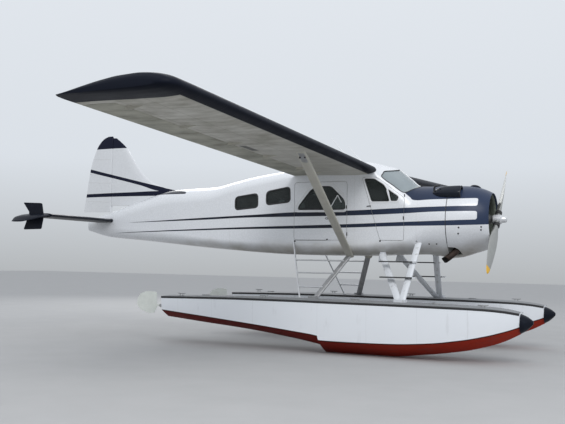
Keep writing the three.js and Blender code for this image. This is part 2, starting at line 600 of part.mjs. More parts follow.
// the wing strut with room round it and past its foot
const wingStrutCutter = strut([1617.3, 490, 1654.1], STRUT_LINE[1], 177, 64, 16);
const rearStrut = cut(
  join(strut(...rearLine, 105, 48), rearFoot), fuselageCutter, floatCutter, wingStrutCutter);
addPair('rear_float_strut', rearStrut, STRUT_GREY);

// Boarding ladder between a tube and the rear float strut. Columns: height, tube x y, strut x y
const RUNGS = [[1575, 663, 806, 1547, 611], [1345, 742, 914, 1427, 793], [1095, 829, 1030, 1297, 991]];
const ladder = cut(join(bar([540, 640, 1930], [905, 1132, DECK_Z - 40], 15, 10),
  ...RUNGS.map(([z, x0, y0, x1, y1]) => bar([x0, y0, z], [x1, y1, z], 13, 8))),
  strut(...rearLine, 106, 49), fuselageCutter, floatCutter);
addPair('boarding_ladder', ladder, BARE_METAL);

// Spreader bars between the floats
for (const [name, x] of [['front', 2800], ['rear', 1190]]) {
  const tube = strut([x, -1000, 770], [x, 1000, 770], 90, 60, 12);
  const spreader = cut(tube, floatCutter, mirrored(floatCutter));
  add(`spreader_bar_${name}`, spreader, BARE_METAL);
}

// Engine: nine finned cylinders around a crankcase, with the reduction nose
const CYLINDERS = 9;
const HUB_REAR = 82;
const ENGINE_X = 3680;
const FINS = 5;
const finProfile = [[0, 180]];
for (let i = 0; i < FINS; i++) {
  const r = 260 + i * 48;
  finProfile.push([68, r], [92, r + 6], [92, r + 20], [68, r + 26]);
}
finProfile.push([70, 500], [60, 535], [0, 545]);
const engineParts = Array.from({ length: CYLINDERS }, (_, i) => {
  const geometry = new THREE.LatheGeometry(finProfile.map(([r, y]) => new THREE.Vector2(r, y)), 12);
  geometry.rotateX(Math.PI / 2 + (2 * Math.PI * i) / CYLINDERS);
  geometry.translate(ENGINE_X, 0, THRUST_Z);
  return solid(geometry);
});
const crankcase = turned([[3420, 0], [3420, 300], [3520, 300], [3540, 250], [3800, 250], [3830, 200],
  [3960, 150], [4030, 95], [PROPELLER_X - HUB_REAR - 24, 75], [PROPELLER_X - HUB_REAR - 12, 0]], 24);
add('radial_engine', join(crankcase, ...engineParts), ENGINE_METAL);

// Cowling: open ring with a rolled front lip, cut away at its lower rear corner for the exhaust
// Columns: station x, outer radius, how far the ring's centre lies below the thrust line
const COWL_SECTIONS = [
  [COWL_REAR_X, COWL_RADIUS, THRUST_Z - NOSE_END_Z], [3560, 637, 36], [3700, 615, 19], [3865, 575, 5],
  [3980, 537, 6], [4060, 503, 8], [4112, 472, 4],
];
const COWL_WALL = 22;
const cowlInner = [
  [4104, 460], [4045, 458],
  ...COWL_SECTIONS.slice(0, 5).reverse().map(([x, radius]) => [x, radius - COWL_WALL]),
];
const cowlDrop = (x) => {
  const i = Math.max(1, COWL_SECTIONS.findIndex((row) => row[0] >= x - TOUCH));
  const [low, high] = [COWL_SECTIONS[i - 1], COWL_SECTIONS[i]];
  return THREE.MathUtils.mapLinear(x, low[0], high[0], low[2], high[2]);
};
const followCowl = (manifold) => manifold.warp((p) => { p[2] -= cowlDrop(Math.max(p[0], COWL_REAR_X)); });
const cowlOuter = COWL_SECTIONS.map(([x, radius]) => [x, radius]);
const cowlRing = [...cowlOuter, ...cowlInner, cowlOuter[0]];
const EXHAUST_NOTCH = [[3300, 1500], [3645, 1500], [3645, 1755], [3612, 1815], [3540, 1840], [3300, 1840]];
const exhaustNotch = prismY(EXHAUST_NOTCH, -700, -190);
add('engine_cowling', cut(followCowl(turned(cowlRing, 36)), exhaustNotch), WHITE_PAINT);

// Exhaust stub, leaving the cowling's lower starboard corner
const exhaustPath = new THREE.CatmullRomCurve3([
  new THREE.Vector3(3590, -270, 1845), new THREE.Vector3(3520, -320, 1768),
  new THREE.Vector3(3430, -360, 1680), new THREE.Vector3(3310, -385, 1590),
]);
const PIPE_SIDES = 14;
const ringShape = (radius) =>
  new THREE.Shape(new THREE.EllipseCurve(0, 0, radius, radius).getPoints(PIPE_SIDES).slice(0, PIPE_SIDES));
const alongExhaust = { extrudePath: exhaustPath, steps: 6 };
const pipe = (radius) => solid(new THREE.ExtrudeGeometry(ringShape(radius), alongExhaust));
add('exhaust_pipe', cut(pipe(62), pipe(56)), RUSTY_STEEL);

// Carburettor air scoop on the starboard shoulder of the cowling, open to the front
const SCOOP_TURN = THREE.MathUtils.degToRad(42);
const scoopRing = (x, halfWidth, low, high) => Array.from({ length: 9 }, (_, i) => {
  const turn = (Math.PI * i) / 8;
  return new THREE.Vector3(x, halfWidth * Math.cos(turn), low + (high - low) * Math.sin(turn));
});
const scoopOuter = loft([
  scoopRing(3140, 90, 530, 645), scoopRing(3270, 132, 530, 702), scoopRing(3640, 138, 530, 716),
]);
const scoopInner = loft([scoopRing(3340, 118, 540, 690), scoopRing(3650, 126, 540, 704)]);
const scoopShape = geometryOf(cut(scoopOuter, scoopInner));
scoopShape.rotateX(SCOOP_TURN);
scoopShape.translate(0, 0, THRUST_Z);
const SCOOP_SEAT = 2.4;
const seatRings = COWL_SECTIONS.slice(0, 4).map(([x, radius]) => [x, radius + SCOOP_SEAT]);
const cowlCutter = followCowl(turned([[2800, 0], [2800, 660], ...seatRings, [3865, 0]], 36));
add('air_scoop', cut(solid(scoopShape), cowlCutter, fuselage(2950, COWL_REAR_X, 2)), BLACK_PLASTIC);

// Propeller: two blades on a hub. Columns: radius, chord, thickness, blade angle in degrees
const BLADE_SECTIONS = [
  [30, 90, 90, 40], [240, 105, 80, 40], [400, 165, 52, 36], [650, 200, 34, 30], [900, 182, 24, 25],
  [1120, 138, 17, 21], [1240, 92, 12, 19], [PROPELLER_DIAMETER / 2, 40, 8, 18],
];
function propellerBlade(direction) {
  const blade = loft(BLADE_SECTIONS.map(([r, chord, thick, angle]) => {
    const tilt = THREE.MathUtils.degToRad(angle);
    return Array.from({ length: 12 }, (_, i) => {
      const turn = (2 * Math.PI * i) / 12;
      const u = (chord / 2) * Math.cos(turn);
      const v = (thick / 2) * Math.sin(turn);
      const ahead = v * Math.cos(tilt) - u * Math.sin(tilt);
      return new THREE.Vector3(ahead, u * Math.cos(tilt) + v * Math.sin(tilt), r);
    });
  }));
  const geometry = geometryOf(blade);
  geometry.rotateX(direction);
  return solid(geometry.translate(PROPELLER_X, 0, THRUST_Z));
}
const HUB_PROFILE = [
  [-HUB_REAR, 0], [-HUB_REAR, 68], [-60, 85], [60, 85], [80, 60], [150, 55], [165, 40], [165, 0],
];
const hub = turned(HUB_PROFILE.map(([ahead, radius]) => [PROPELLER_X + ahead, radius]), 20);
const blades = [-PROPELLER_REST, Math.PI - PROPELLER_REST].map(propellerBlade);
add('propeller', join(hub, ...blades), BARE_METAL);

// Cabin fittings: seats, bench seats, instrument panel and control column
const SEAT_FLOOR = FLOOR_Z;
function seat(x, y, width) {
  const half = width / 2;
  return join(
    box(x - 230, x + 230, y - half, y + half, SEAT_FLOOR + 280, SEAT_FLOOR + 430),
    prismY([[x - 235, SEAT_FLOOR + 330], [x - 130, SEAT_FLOOR + 330], [x - 230, SEAT_FLOOR + 940],
      [x - 310, SEAT_FLOOR + 940]], y - half, y + half),
    box(x - 180, x + 180, y - half + 40, y + half - 40, SEAT_FLOOR + TOUCH, SEAT_FLOOR + 290));
}
add('pilot_seat', seat(1930, 300, 450), SEAT_CLOTH);
add('copilot_seat', seat(1930, -300, 450), SEAT_CLOTH);
add('passenger_bench', seat(960, 0, 1080), SEAT_CLOTH);
add('rear_bench', seat(-50, 0, 980), SEAT_CLOTH);
const panel = join(
  box(2560, 2620, -540, 540, 2420, 2740),
  box(2620, 2700, -500, 500, 2560, 2730),
  box(2540, 2570, -60, 60, SEAT_FLOOR + TOUCH, 2430),
  box(2540, FIREWALL_X - 2, -60, 60, 2380, 2460),
);
add('instrument_panel', panel, BLACK_PLASTIC);
const WHEEL_X = 2325;
const yoke = join(
  bar([2400, 0, SEAT_FLOOR + TOUCH], [2400, 0, 2380], 28, 12),
  bar([2400, 0, 2360], [2330, 290, 2520], 20, 10),
  bar([WHEEL_X, 150, 2500], [WHEEL_X, 430, 2500], 14, 8),
  bar([WHEEL_X, 165, 2500], [WHEEL_X, 150, 2620], 14, 8),
  bar([WHEEL_X, 415, 2500], [WHEEL_X, 430, 2620], 14, 8),
);
add('control_column', yoke, BLACK_PLASTIC);

export default model;
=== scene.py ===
"""Looks of a single-engined, high-wing floatplane parked on its keels.

Metres, +X to the nose, +Y to port, +Z up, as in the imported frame. The script follows the aircraft as it is
put together: each section holds one piece or group of like pieces with its sizes, mesh and material.
"""

import bpy
import numpy as np
from mathutils import Matrix, Vector


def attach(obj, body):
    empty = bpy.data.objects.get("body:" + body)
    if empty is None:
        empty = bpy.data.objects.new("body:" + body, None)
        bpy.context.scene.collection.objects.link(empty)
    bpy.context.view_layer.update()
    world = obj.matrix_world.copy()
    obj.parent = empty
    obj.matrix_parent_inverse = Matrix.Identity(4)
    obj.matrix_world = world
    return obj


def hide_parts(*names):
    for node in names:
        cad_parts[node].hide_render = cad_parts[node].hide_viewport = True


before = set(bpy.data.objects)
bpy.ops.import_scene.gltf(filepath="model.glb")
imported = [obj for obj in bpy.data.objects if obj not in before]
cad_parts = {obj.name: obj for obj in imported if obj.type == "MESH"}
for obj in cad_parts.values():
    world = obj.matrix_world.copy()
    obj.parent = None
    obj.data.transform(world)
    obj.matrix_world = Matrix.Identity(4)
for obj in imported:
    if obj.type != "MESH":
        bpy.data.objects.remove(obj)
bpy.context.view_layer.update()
SIDES = (("left", 1), ("right", -1))

# Studio: a pale floor under an even, overcast kind of sky, two large soft lamps, and a camera where the
# photographer stood, off the starboard bow at chest height.
CAMERA_PLACE = (6.860, -14.441, 1.528)
CAMERA_YAW, CAMERA_PITCH, CAMERA_ROLL = np.radians((25.43, 3.549, 1.05))
LENS_MM, SENSOR_MM = 51.52, 36.0


def added(name, data):
    """A new object in the scene."""
    made = bpy.data.objects.new(name, data)
    bpy.context.scene.collection.objects.link(made)
    return made


camera = added("camera", bpy.data.cameras.new("camera"))
camera.data.lens, camera.data.sensor_width = LENS_MM, SENSOR_MM
camera.data.sensor_fit = "HORIZONTAL"
camera.data.clip_end = 200.0
camera.matrix_world = (
    Matrix.Translation(CAMERA_PLACE)
    @ Matrix.Rotation(CAMERA_YAW, 4, "Z")
    @ Matrix.Rotation(np.pi / 2 + CAMERA_PITCH, 4, "X")
    @ Matrix.Rotation(CAMERA_ROLL, 4, "Z")
)
bpy.context.scene.camera = camera
bpy.context.scene.view_settings.view_transform = "Standard"


class Signal:
    """A number, colour or vector on its way through a material; arithmetic on numbers adds Math nodes."""

    def __init__(self, finish, socket):
        self.finish, self.socket = finish, socket

    def math(self, operation, *others):
        return self.finish.node("Math", {"operation": operation}, dict(enumerate((self, *others))))

    def __add__(self, other):
        return self.math("ADD", other)

    def __sub__(self, other):
        return self.math("SUBTRACT", other)

    def __rsub__(self, other):
        return self.finish.node("Math", {"operation": "SUBTRACT"}, {0: other, 1: self})

    def __mul__(self, other):
        return self.math("MULTIPLY", other)

    def __truediv__(self, other):
        return self.math("DIVIDE", other)

    __radd__, __rmul__ = __add__, __mul__


class Finish:
    """A material whose nodes are added as the lines that describe it run."""

    def __init__(self, name, tree=None):
        if tree is None:
            self.material = bpy.data.materials.new(name)
            self.material.use_nodes = True
            tree = self.material.node_tree
            self.shader = tree.nodes["Principled BSDF"]
        self.tree = tree

    def node(self, kind, settings=None, values=None, output=0):
        """A node of a kind: its settings first, then numbers or links for its sockets by name or place."""
        made = self.tree.nodes.new("ShaderNode" + kind)
        for key, value in (settings or {}).items():
            if key == "stops":
                for place, colour in value[2:]:
                    made.color_ramp.elements.new(place)
                for stop, (place, colour) in zip(made.color_ramp.elements, value):
                    stop.position, stop.color = place, (*colour, 1)
            elif key == "points":
                curve = made.mapping.curves[0]
                for _ in value[2:]:
                    curve.points.new(0.5, 0.5)
                for point, place in zip(curve.points, value):
                    point.location = place
                made.mapping.update()
            else:
                setattr(made, key, value)
        for key, value in (values or {}).items():
            if isinstance(key, int):
                socket = made.inputs[key]
            else:
                socket = next(s for s in made.inputs if key in (s.identifier, s.name))
            if isinstance(value, Signal):
                self.tree.links.new(value.socket, socket)
            else:
                socket.default_value = value
        if isinstance(output, int):
            return Signal(self, made.outputs[output])
        return Signal(self, next(s for s in made.outputs if output in (s.identifier, s.name)))

    def place(self):
        """Object coordinates as three numbers."""
        where = self.node("TexCoord", output="Object")
        parts = self.node("SeparateXYZ", None, {0: where})
        return where, [Signal(self, socket) for socket in parts.socket.node.outputs]

    def noise(self, where, scale, detail=3.0, roughness=0.55, stretch=None):
        """Cloudy grain, 0 to 1; stretch gives the pattern other scales along x, y and z."""
        if stretch:
            where = self.node("VectorMath", {"operation": "MULTIPLY"}, {0: where, 1: stretch})
        return self.node("TexNoise", None, {"Vector": where, "Scale": scale, "Detail": detail,
                                            "Roughness": roughness}, "Fac")

    def above(self, value, edge, soft=0.0015):
        """1 where value is over edge, 0 where it is under, with a soft step between."""
        return self.ramp(value - edge, -soft, soft, True)

    def ramp(self, value, start, end, smooth=False):
        """0 at start and 1 at end, straight or smoothed between."""
        settings = {"interpolation_type": "SMOOTHSTEP"} if smooth else None
        return self.node("MapRange", settings, {"Value": value, "From Min": start, "From Max": end})

    def upward(self):
        """How far the surface faces up: 1 on a level top, -1 on a level underside."""
        return self.node("SeparateXYZ", None, {0: self.node("NewGeometry", output="Normal")}, "Z")

    def between(self, value, low, high, soft=0.0015):
        """1 from low to high."""
        return self.above(value, low, soft) * self.above(high - value, 0.0, soft)

    def over(self, value, points):
        """Height of a smooth line through points (place, height), read at value."""
        places, heights = (np.array(column, float) for column in zip(*points))
        start, run = places[0], places[-1] - places[0]
        low, rise = heights.min(), max(np.ptp(heights), 1e-6)
        line = list(zip((places - start) / run, (heights - low) / rise))
        part = self.node("MapRange", {"clamp": True}, {"Value": value, "From Min": start, "From Max": start + run})
        return self.node("FloatCurve", {"points": line}, {"Value": part}) * rise + low

    def mix(self, share, first, second):
        """One colour shading into another by a share from 0 to 1."""
        return self.node("Mix", {"data_type": "RGBA"}, {"Factor_Float": share, "A_Color": first,
                                                        "B_Color": second}, "Result_Color")

    def bump(self, height, distance, strength):
        """Dents and rises as deep as a distance, from a height."""
        return self.node("Bump", None, {"Height": height, "Distance": distance, "Strength": strength})

    def layered(self, share, **sockets):
        """A second shader with its own sockets laid over the first by a share from 0 to 1."""
        under = Signal(self, self.shader.outputs[0])
        self.shader = self.tree.nodes.new("ShaderNodeBsdfPrincipled")
        over = Signal(self, self.shader.outputs[0])
        self.surface(self.node("MixShader", None, {0: share, 1: under, 2: over}))
        return self.done(**sockets)

    def surface(self, shader):
        self.tree.links.new(shader.socket, self.tree.nodes["Material Output"].inputs["Surface"])

    def done(self, **sockets):
        """Sets or links the shader's sockets, spaces in their names written as underscores."""
        for key, value in sockets.items():
            socket = self.shader.inputs[key.replace("_", " ")]
            if isinstance(value, Signal):
                self.tree.links.new(value.socket, socket)
            else:
                socket.default_value = value
        return self.material


world = bpy.data.worlds.new("overcast")
bpy.context.scene.world = world
world.use_nodes = True
sky = Finish("sky", world.node_tree)
gradient = sky.node("MapRange", None, {"Value": sky.node("SeparateXYZ", None, {
    0: sky.node("TexCoord", output="Generated")}, "Z"), "From Min": -1.0})
sky_colour = sky.node("ValToRGB", {"stops": [(0.46, (0.40, 0.41, 0.41)), (0.56, (0.82, 0.87, 0.93)),
                                             (0.85, (0.98, 1.02, 1.08))]}, {0: gradient})
backdrop = world.node_tree.nodes["Background"]
world.node_tree.links.new(sky_colour.socket, backdrop.inputs["Color"])
backdrop.inputs["Strength"].default_value = 0.86


def lamp(name, place, aim, size, watts):
    """A square soft box at place, facing aim."""
    light = bpy.data.lights.new(name, "AREA")
    light.size, light.energy = size, watts
    back = Vector(place) - Vector(aim)
    facing = back.to_track_quat("Z", "Y").to_matrix().to_4x4()
    added(name, light).matrix_world = Matrix.Translation(place) @ facing


lamp("key", (8.0, -12.0, 13.0), (0.5, -1.0, 1.8), 8.0, 1080.0)
lamp("fill", (-9.0, 11.0, 10.0), (0.0, 1.0, 1.8), 9.0, 600.0)

FLOOR_HALF = 60.0
concrete = Finish("studio_floor")
floor_spot = concrete.place()[0]
floor_grain = concrete.noise(floor_spot, 1.5) * 0.05 + 0.38
concrete.done(Base_Color=concrete.node("CombineColor", None, {0: floor_grain, 1: floor_grain, 2: floor_grain}),
              Roughness=0.85)
floor_mesh = bpy.data.meshes.new("studio_floor")
floor_mesh.from_pydata([(x * FLOOR_HALF, y * FLOOR_HALF, 0.0) for x, y in ((-1, -1), (1, -1), (1, 1), (-1, 1))],
                       [], [(0, 1, 2, 3)])
floor_mesh.materials.append(concrete.material)
studio_floor = added("studio_floor", floor_mesh)

# Fuselage skin: the sheet-metal body is a row of rounded boxes drawn fair from the tail post to the cowling,
# painted white with two navy stripes that widen towards the nose. Doors, windows and trim all take their
# places from this one surface.
# Columns: station x, half width, top z, bottom z, top corner width, height, bottom corner width, height
FUSELAGE_SECTIONS = np.array([
    (-4.760, 0.050, 2.400, 2.150, 0.048, 0.100, 0.048, 0.100),
    (-4.150, 0.170, 2.545, 2.012, 0.150, 0.200, 0.140, 0.190),
    (-3.300, 0.305, 2.790, 1.945, 0.240, 0.280, 0.210, 0.220),
    (-2.400, 0.435, 2.990, 1.868, 0.320, 0.320, 0.270, 0.220),
    (-1.350, 0.560, 3.020, 1.782, 0.340, 0.290, 0.300, 0.200),
    (-0.850, 0.615, 3.110, 1.748, 0.330, 0.260, 0.300, 0.200),
    (-0.340, 0.645, 3.200, 1.714, 0.320, 0.240, 0.300, 0.200),
    (0.450, 0.650, 3.300, 1.680, 0.300, 0.200, 0.300, 0.200),
    (1.200, 0.650, 3.385, 1.676, 0.260, 0.170, 0.300, 0.200),
    (1.870, 0.650, 3.392, 1.680, 0.260, 0.170, 0.300, 0.200),
    (2.060, 0.650, 3.370, 1.690, 0.300, 0.190, 0.310, 0.205),
    (2.200, 0.650, 3.340, 1.697, 0.520, 0.330, 0.330, 0.215),
    (2.360, 0.650, 3.295, 1.704, 0.620, 0.470, 0.350, 0.225),
    (2.630, 0.650, 3.092, 1.712, 0.630, 0.540, 0.400, 0.250),
    (2.810, 0.650, 2.957, 1.716, 0.630, 0.560, 0.450, 0.300),
    (2.910, 0.650, 2.951, 1.717, 0.630, 0.590, 0.500, 0.380),
    (3.410, 0.645, 2.947, 1.657, 0.645, 0.645, 0.645, 0.645),
])
# The room inside the cabin, same columns
CABIN_SECTIONS = np.array([
    (-0.900, 0.572, 3.020, 1.890, 0.200, 0.160, 0.030, 0.030),
    (-0.340, 0.605, 3.105, 1.890, 0.200, 0.120, 0.030, 0.030),
    (0.450, 0.610, 3.130, 1.890, 0.150, 0.080, 0.030, 0.030),
    (2.000, 0.610, 3.140, 1.890, 0.150, 0.080, 0.030, 0.030),
    (2.200, 0.610, 3.250, 1.890, 0.480, 0.290, 0.030, 0.030),
    (2.360, 0.610, 3.245, 1.890, 0.580, 0.430, 0.030, 0.030),
    (2.630, 0.610, 3.045, 1.890, 0.590, 0.500, 0.030, 0.030),
    (2.810, 0.610, 2.912, 1.890, 0.590, 0.520, 0.030, 0.030),
    (2.930, 0.610, 2.905, 1.890, 0.590, 0.550, 0.030, 0.030),
])
TAIL_END, CABIN_REAR, CABIN_FRONT, NOSE_END = -4.760, -0.850, 2.910, 3.410
FLOOR_Z, ROOF_SPLIT_Z = 1.930, 3.045
STATION_STEP, CORNER_STEPS, SIDE_STEPS = 0.03, 10, 9
SKIN_REACH, CREASE = 0.003, np.radians(32)


def faired(x, table):
    """Rows of a table read at the places x, by cubics through its rows whose slopes are the harmonic means
    of the straight slopes on both sides, so that a curve never swings past its points."""
    knots, values = table[:, 0], table[:, 1:]
    run = np.diff(knots)[:, None]
    slope = np.diff(values, axis=0) / run
    product = slope[:-1] * slope[1:]
    total = slope[:-1] + slope[1:]
    middle = np.where(product > 0, 2 * product / np.where(total == 0, 1, total), 0)
    slopes = np.vstack([slope[:1], middle, slope[-1:]])
    x = np.clip(x, knots[0], knots[-1])
    i = np.clip(np.searchsorted(knots, x, "right") - 1, 0, len(knots) - 2)
    step = run[i]
    t = (x - knots[i])[:, None] / step
    return (
        values[i] * (1 + 2 * t) * (1 - t) ** 2 + slopes[i] * step * t * (1 - t) ** 2
        + values[i + 1] * t * t * (3 - 2 * t) + slopes[i + 1] * step * t * t * (t - 1)
    )


def spread(x, y, z):
    """Points from three arrays of coordinates stretched over one grid."""
    return np.stack(np.broadcast_arrays(x, y, z), -1)


def unit(vectors):
    """Rows of vectors brought to length one."""
    return vectors / np.linalg.norm(vectors, axis=1, keepdims=True)


def section_rings(x, grow=0.0, table=FUSELAGE_SECTIONS):
    """Rounded-box rings at the stations x: four elliptical corners, (w cos t, h sin t) about each corner's
    centre, joined by straight runs, the whole grown outwards by a distance."""
    x = np.asarray(x, float)
    half, top, bottom, top_w, top_h, low_w, low_h = (column[:, None] for column in faired(x, table).T)
    turn = np.linspace(0, np.pi / 2, CORNER_STEPS + 1)[None, :]
    run = np.linspace(0, 1, SIDE_STEPS + 1)[None, 1:-1]
    tiny = 0.0004
    up_y = half - top_w + tiny + (top_w + grow) * np.cos(turn)
    up_z = top - top_h + tiny + (top_h + grow) * np.sin(turn)
    low_y = half - low_w + tiny + (low_w + grow) * np.cos(turn)
    low_z = bottom + low_h - tiny - (low_h + grow) * np.sin(turn)
    crown_y, crown_z = up_y[:, -1:] * (1 - 2 * run), np.repeat(up_z[:, -1:], run.size, 1)
    keel_y, keel_z = low_y[:, -1:] * (2 * run - 1), np.repeat(low_z[:, -1:], run.size, 1)
    rise_y, rise_z = low_y[:, :1] * (1 - run) + up_y[:, :1] * run, low_z[:, :1] * (1 - run) + up_z[:, :1] * run
    y = np.hstack([up_y, crown_y, -up_y[:, ::-1], -rise_y[:, ::-1], -low_y, keel_y, low_y[:, ::-1], rise_y])
    z = np.hstack([up_z, crown_z, up_z[:, ::-1], rise_z[:, ::-1], low_z, keel_z, low_z[:, ::-1], rise_z])
    return spread(x[:, None], y, z)


def skin_level(points):
    """How far outside the fuselage skin points are: in a corner, the ellipse's level sqrt(u^2 + v^2) less one,
    times the corner's smaller size, and past the flats the distance itself."""
    half, top, bottom, top_w, top_h, low_w, low_h = faired(points[:, 0], FUSELAGE_SECTIONS).T
    y, z = np.abs(points[:, 1]), points[:, 2]
    levels = []
    for w, h, rise in ((top_w, top_h, z - top + top_h), (low_w, low_h, bottom + low_h - z)):
        u, v = np.maximum((y - half + w) / w, 0), np.maximum(rise / h, 0)
        levels.append((np.hypot(u, v) - 1) * np.minimum(w, h))
    return np.maximum(*levels)


def skin_normals(points):
    """Outward directions of the fuselage skin, from how its level changes over a millimetre each way."""
    shift = np.eye(3) * 0.001
    normals = np.stack([skin_level(points + d) - skin_level(points - d) for d in shift], -1)
    return normals / np.maximum(np.linalg.norm(normals, axis=1, keepdims=True), 1e-9)


def skin_y(x, z):
    """Half width of the skin at stations x and heights z: the corner's ellipse above and below its flat side."""
    half, top, bottom, top_w, top_h, low_w, low_h = faired(np.asarray(x, float), FUSELAGE_SECTIONS).T
    high = np.clip((z - top + top_h) / top_h, 0, 1)
    low = np.clip((bottom + low_h - z) / low_h, 0, 1)
    upper = half - top_w + top_w * np.sqrt(1 - high ** 2)
    lower = half - low_w + low_w * np.sqrt(1 - low ** 2)
    return np.minimum(upper, lower)


def stations(start, end, step=STATION_STEP):
    """Evenly spaced places from start to end."""
    return np.linspace(start, end, max(2, int(np.ceil((end - start) / step)) + 1))


def outward(points, groups):
    """The faces, turned round if the volume that they close is negative."""
    volume = 0.0
    for group in groups:
        corners = points[group]
        normals = np.cross(corners[:, 1:-1] - corners[:, :1], corners[:, 2:] - corners[:, :1])
        volume += (corners[:, :1] * normals).sum()
    return points, groups if volume > 0 else [group[:, ::-1] for group in groups]


def loft(rings, closed=False):
    """Skin over a grid of points, one ring to a row, with its end rings filled or joined to each other."""
    rows, columns = rings.shape[:2]
    r, c = np.meshgrid(np.arange(rows if closed else rows - 1), np.arange(columns), indexing="ij")
    after, beside = (r + 1) % rows * columns, (c + 1) % columns
    groups = [np.stack([r * columns + c, r * columns + beside, after + beside, after + c], -1).reshape(-1, 4)]
    if not closed:
        ring = np.arange(columns)
        groups += [ring[None, ::-1], ring[None] + (rows - 1) * columns]
    return outward(rings.reshape(-1, 3), groups)


def joined(*shapes):
    """Several shapes as one."""
    starts = np.cumsum([0] + [len(points) for points, _ in shapes])
    groups = [group + start for (_, part), start in zip(shapes, starts) for group in part]
    return np.vstack([points for points, _ in shapes]), groups


def on_side(shape, sign):
    """A port shape as it is, or mirrored to starboard with its faces turned outwards again."""
    points, groups = shape
    return shape if sign > 0 else (points * (1, -1, 1), [group[:, ::-1] for group in groups])


def prism(outline, y0, y1):
    """An outline in x and z carried straight across from y0 to y1."""
    outline = np.asarray(outline, float)
    flat = np.stack([outline[:, 0], np.zeros(len(outline)), outline[:, 1]], -1)
    return loft(np.stack([flat + (0, y0, 0), flat + (0, y1, 0)]))


def block(low, high):
    """A plain rectangular block between two corners."""
    (x0, y0, z0), (x1, y1, z1) = low, high
    return prism([(x0, z0), (x1, z0), (x1, z1), (x0, z1)], y0, y1)


def mesh_of(name, shape):
    points, groups = shape
    mesh = bpy.data.meshes.new(name)
    mesh.from_pydata(points.tolist(), [], [face for group in groups for face in group.tolist()])
    return mesh


def read_all(items, key, width=1, kind=float):
    """One value or row of values for each item of a mesh."""
    values = np.empty(len(items) * width, kind)
    items.foreach_get(key, values)
    return values.reshape(-1, width) if width > 1 else values


def shape_of(mesh):
    """A mesh's points and its faces, grouped by how many corners they have."""
    loops, sizes = read_all(mesh.loops, "vertex_index", kind=int), read_all(mesh.polygons, "loop_total", kind=int)
    starts = np.cumsum(sizes) - sizes
    return (read_all(mesh.vertices, "co", 3),
            [loops[starts[sizes == n][:, None] + np.arange(n)] for n in np.unique(sizes)])


def carved(base, cutters=(), within=()):
    """What is left of a closed shape once cutters are taken out of it and the rest is kept inside others."""
    blank = added("blank", mesh_of("blank", base))
    spare = [blank]
    for operation, tools in (("DIFFERENCE", cutters), ("INTERSECT", within)):
        for tool in tools:
            spare.append(added("cutter", mesh_of("cutter", tool)))
            step = blank.modifiers.new(operation, "BOOLEAN")
            step.operation, step.solver, step.object = operation, "MANIFOLD", spare[-1]
    result = shape_of(blank.evaluated_get(bpy.context.evaluated_depsgraph_get()).to_mesh())
    for item in spare:
        bpy.data.objects.remove(item)
    return result


def put(name, shape, material, body="root", replaces=(), slot=None, crease=CREASE, skin=False, lining=None):
    """A shape as a finished piece: smooth up to the crease angle, riding on its body. On the fuselage skin the
    corners take the skin's own normals, and faces away from it take the lining's material."""
    mesh = mesh_of(name, shape)
    mesh.materials.append(material)
    mesh.polygons.foreach_set("use_smooth", np.ones(len(mesh.polygons), bool))
    mesh.set_sharp_from_angle(angle=crease)
    if skin:
        points, loops = read_all(mesh.vertices, "co", 3), read_all(mesh.loops, "vertex_index", kind=int)
        sizes = read_all(mesh.polygons, "loop_total", kind=int)
        facing = np.repeat(read_all(mesh.polygons, "normal", 3), sizes, 0)
        normals, near = skin_normals(points), np.abs(skin_level(points)) < SKIN_REACH
        keep = near[loops] & ((facing * normals[loops]).sum(1) > np.cos(CREASE))
        mesh.normals_split_custom_set(np.where(keep[:, None], normals[loops], 0.0).tolist())
        if lining:
            mesh.materials.append(lining)
            off = np.add.reduceat(~keep, np.cumsum(sizes) - sizes) > 0
            mesh.polygons.foreach_set("material_index", off.astype(int))
    made = added(name, mesh)
    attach(made, body)
    if replaces:
        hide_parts(*replaces)


def pair(name, shape, material, body=None, replaces=None, **rest):
    """A port shape put on both sides, each on its own side's body and in place of its own side's node."""
    for side, sign in SIDES:
        put(f"{name}_{side}", on_side(shape, sign), material, f"{body}_{side}" if body else "root",
            [f"{replaces}_{side}"] if replaces else (), **rest)


WHITE, BEIGE, NAVY = (0.76, 0.775, 0.80, 1), (0.37, 0.345, 0.295, 1), (0.022, 0.036, 0.078, 1)
UPPER_STRIPE_TOP = [(-3.60, 2.312), (-3.20, 2.322), (-1.51, 2.384), (-0.39, 2.424), (0.666, 2.472), (1.663, 2.489),
                    (2.605, 2.523), (3.396, 2.548), (4.12, 2.556)]
UPPER_STRIPE_LOW = [(-3.60, 2.309), (-3.20, 2.313), (-1.51, 2.344), (-0.388, 2.376), (0.668, 2.387),
                    (1.664, 2.398), (2.606, 2.425), (3.404, 2.458), (4.12, 2.463)]
LOWER_STRIPE_TOP = [(-4.0, 2.084), (-3.70, 2.098), (-1.504, 2.165), (-0.384, 2.193), (0.671, 2.218),
                    (1.666, 2.243), (2.607, 2.275), (3.410, 2.299), (4.12, 2.325)]
LOWER_STRIPE_LOW = [(-4.0, 2.080), (-3.70, 2.090), (-1.503, 2.135), (-0.383, 2.154), (0.672, 2.162),
                    (1.667, 2.179), (2.608, 2.204), (3.409, 2.213), (4.12, 2.238)]
NOSE_DECK_EDGE = [(2.55, 2.895), (2.667, 2.796), (2.760, 2.717), (2.850, 2.664), (3.116, 2.674),
                  (3.635, 2.686), (4.12, 2.70)]
PANEL_FRONT_X, PANEL_ROUND = 3.937, 0.035
DECK_REAR_X, DECK_REAR_RAKE = 2.585, 0.33
SEAMS_X, GRIME_SHADE_TOP, GRIME_SHADE_FULL = (2.9, 1.745, -0.85), 1.83, 1.44
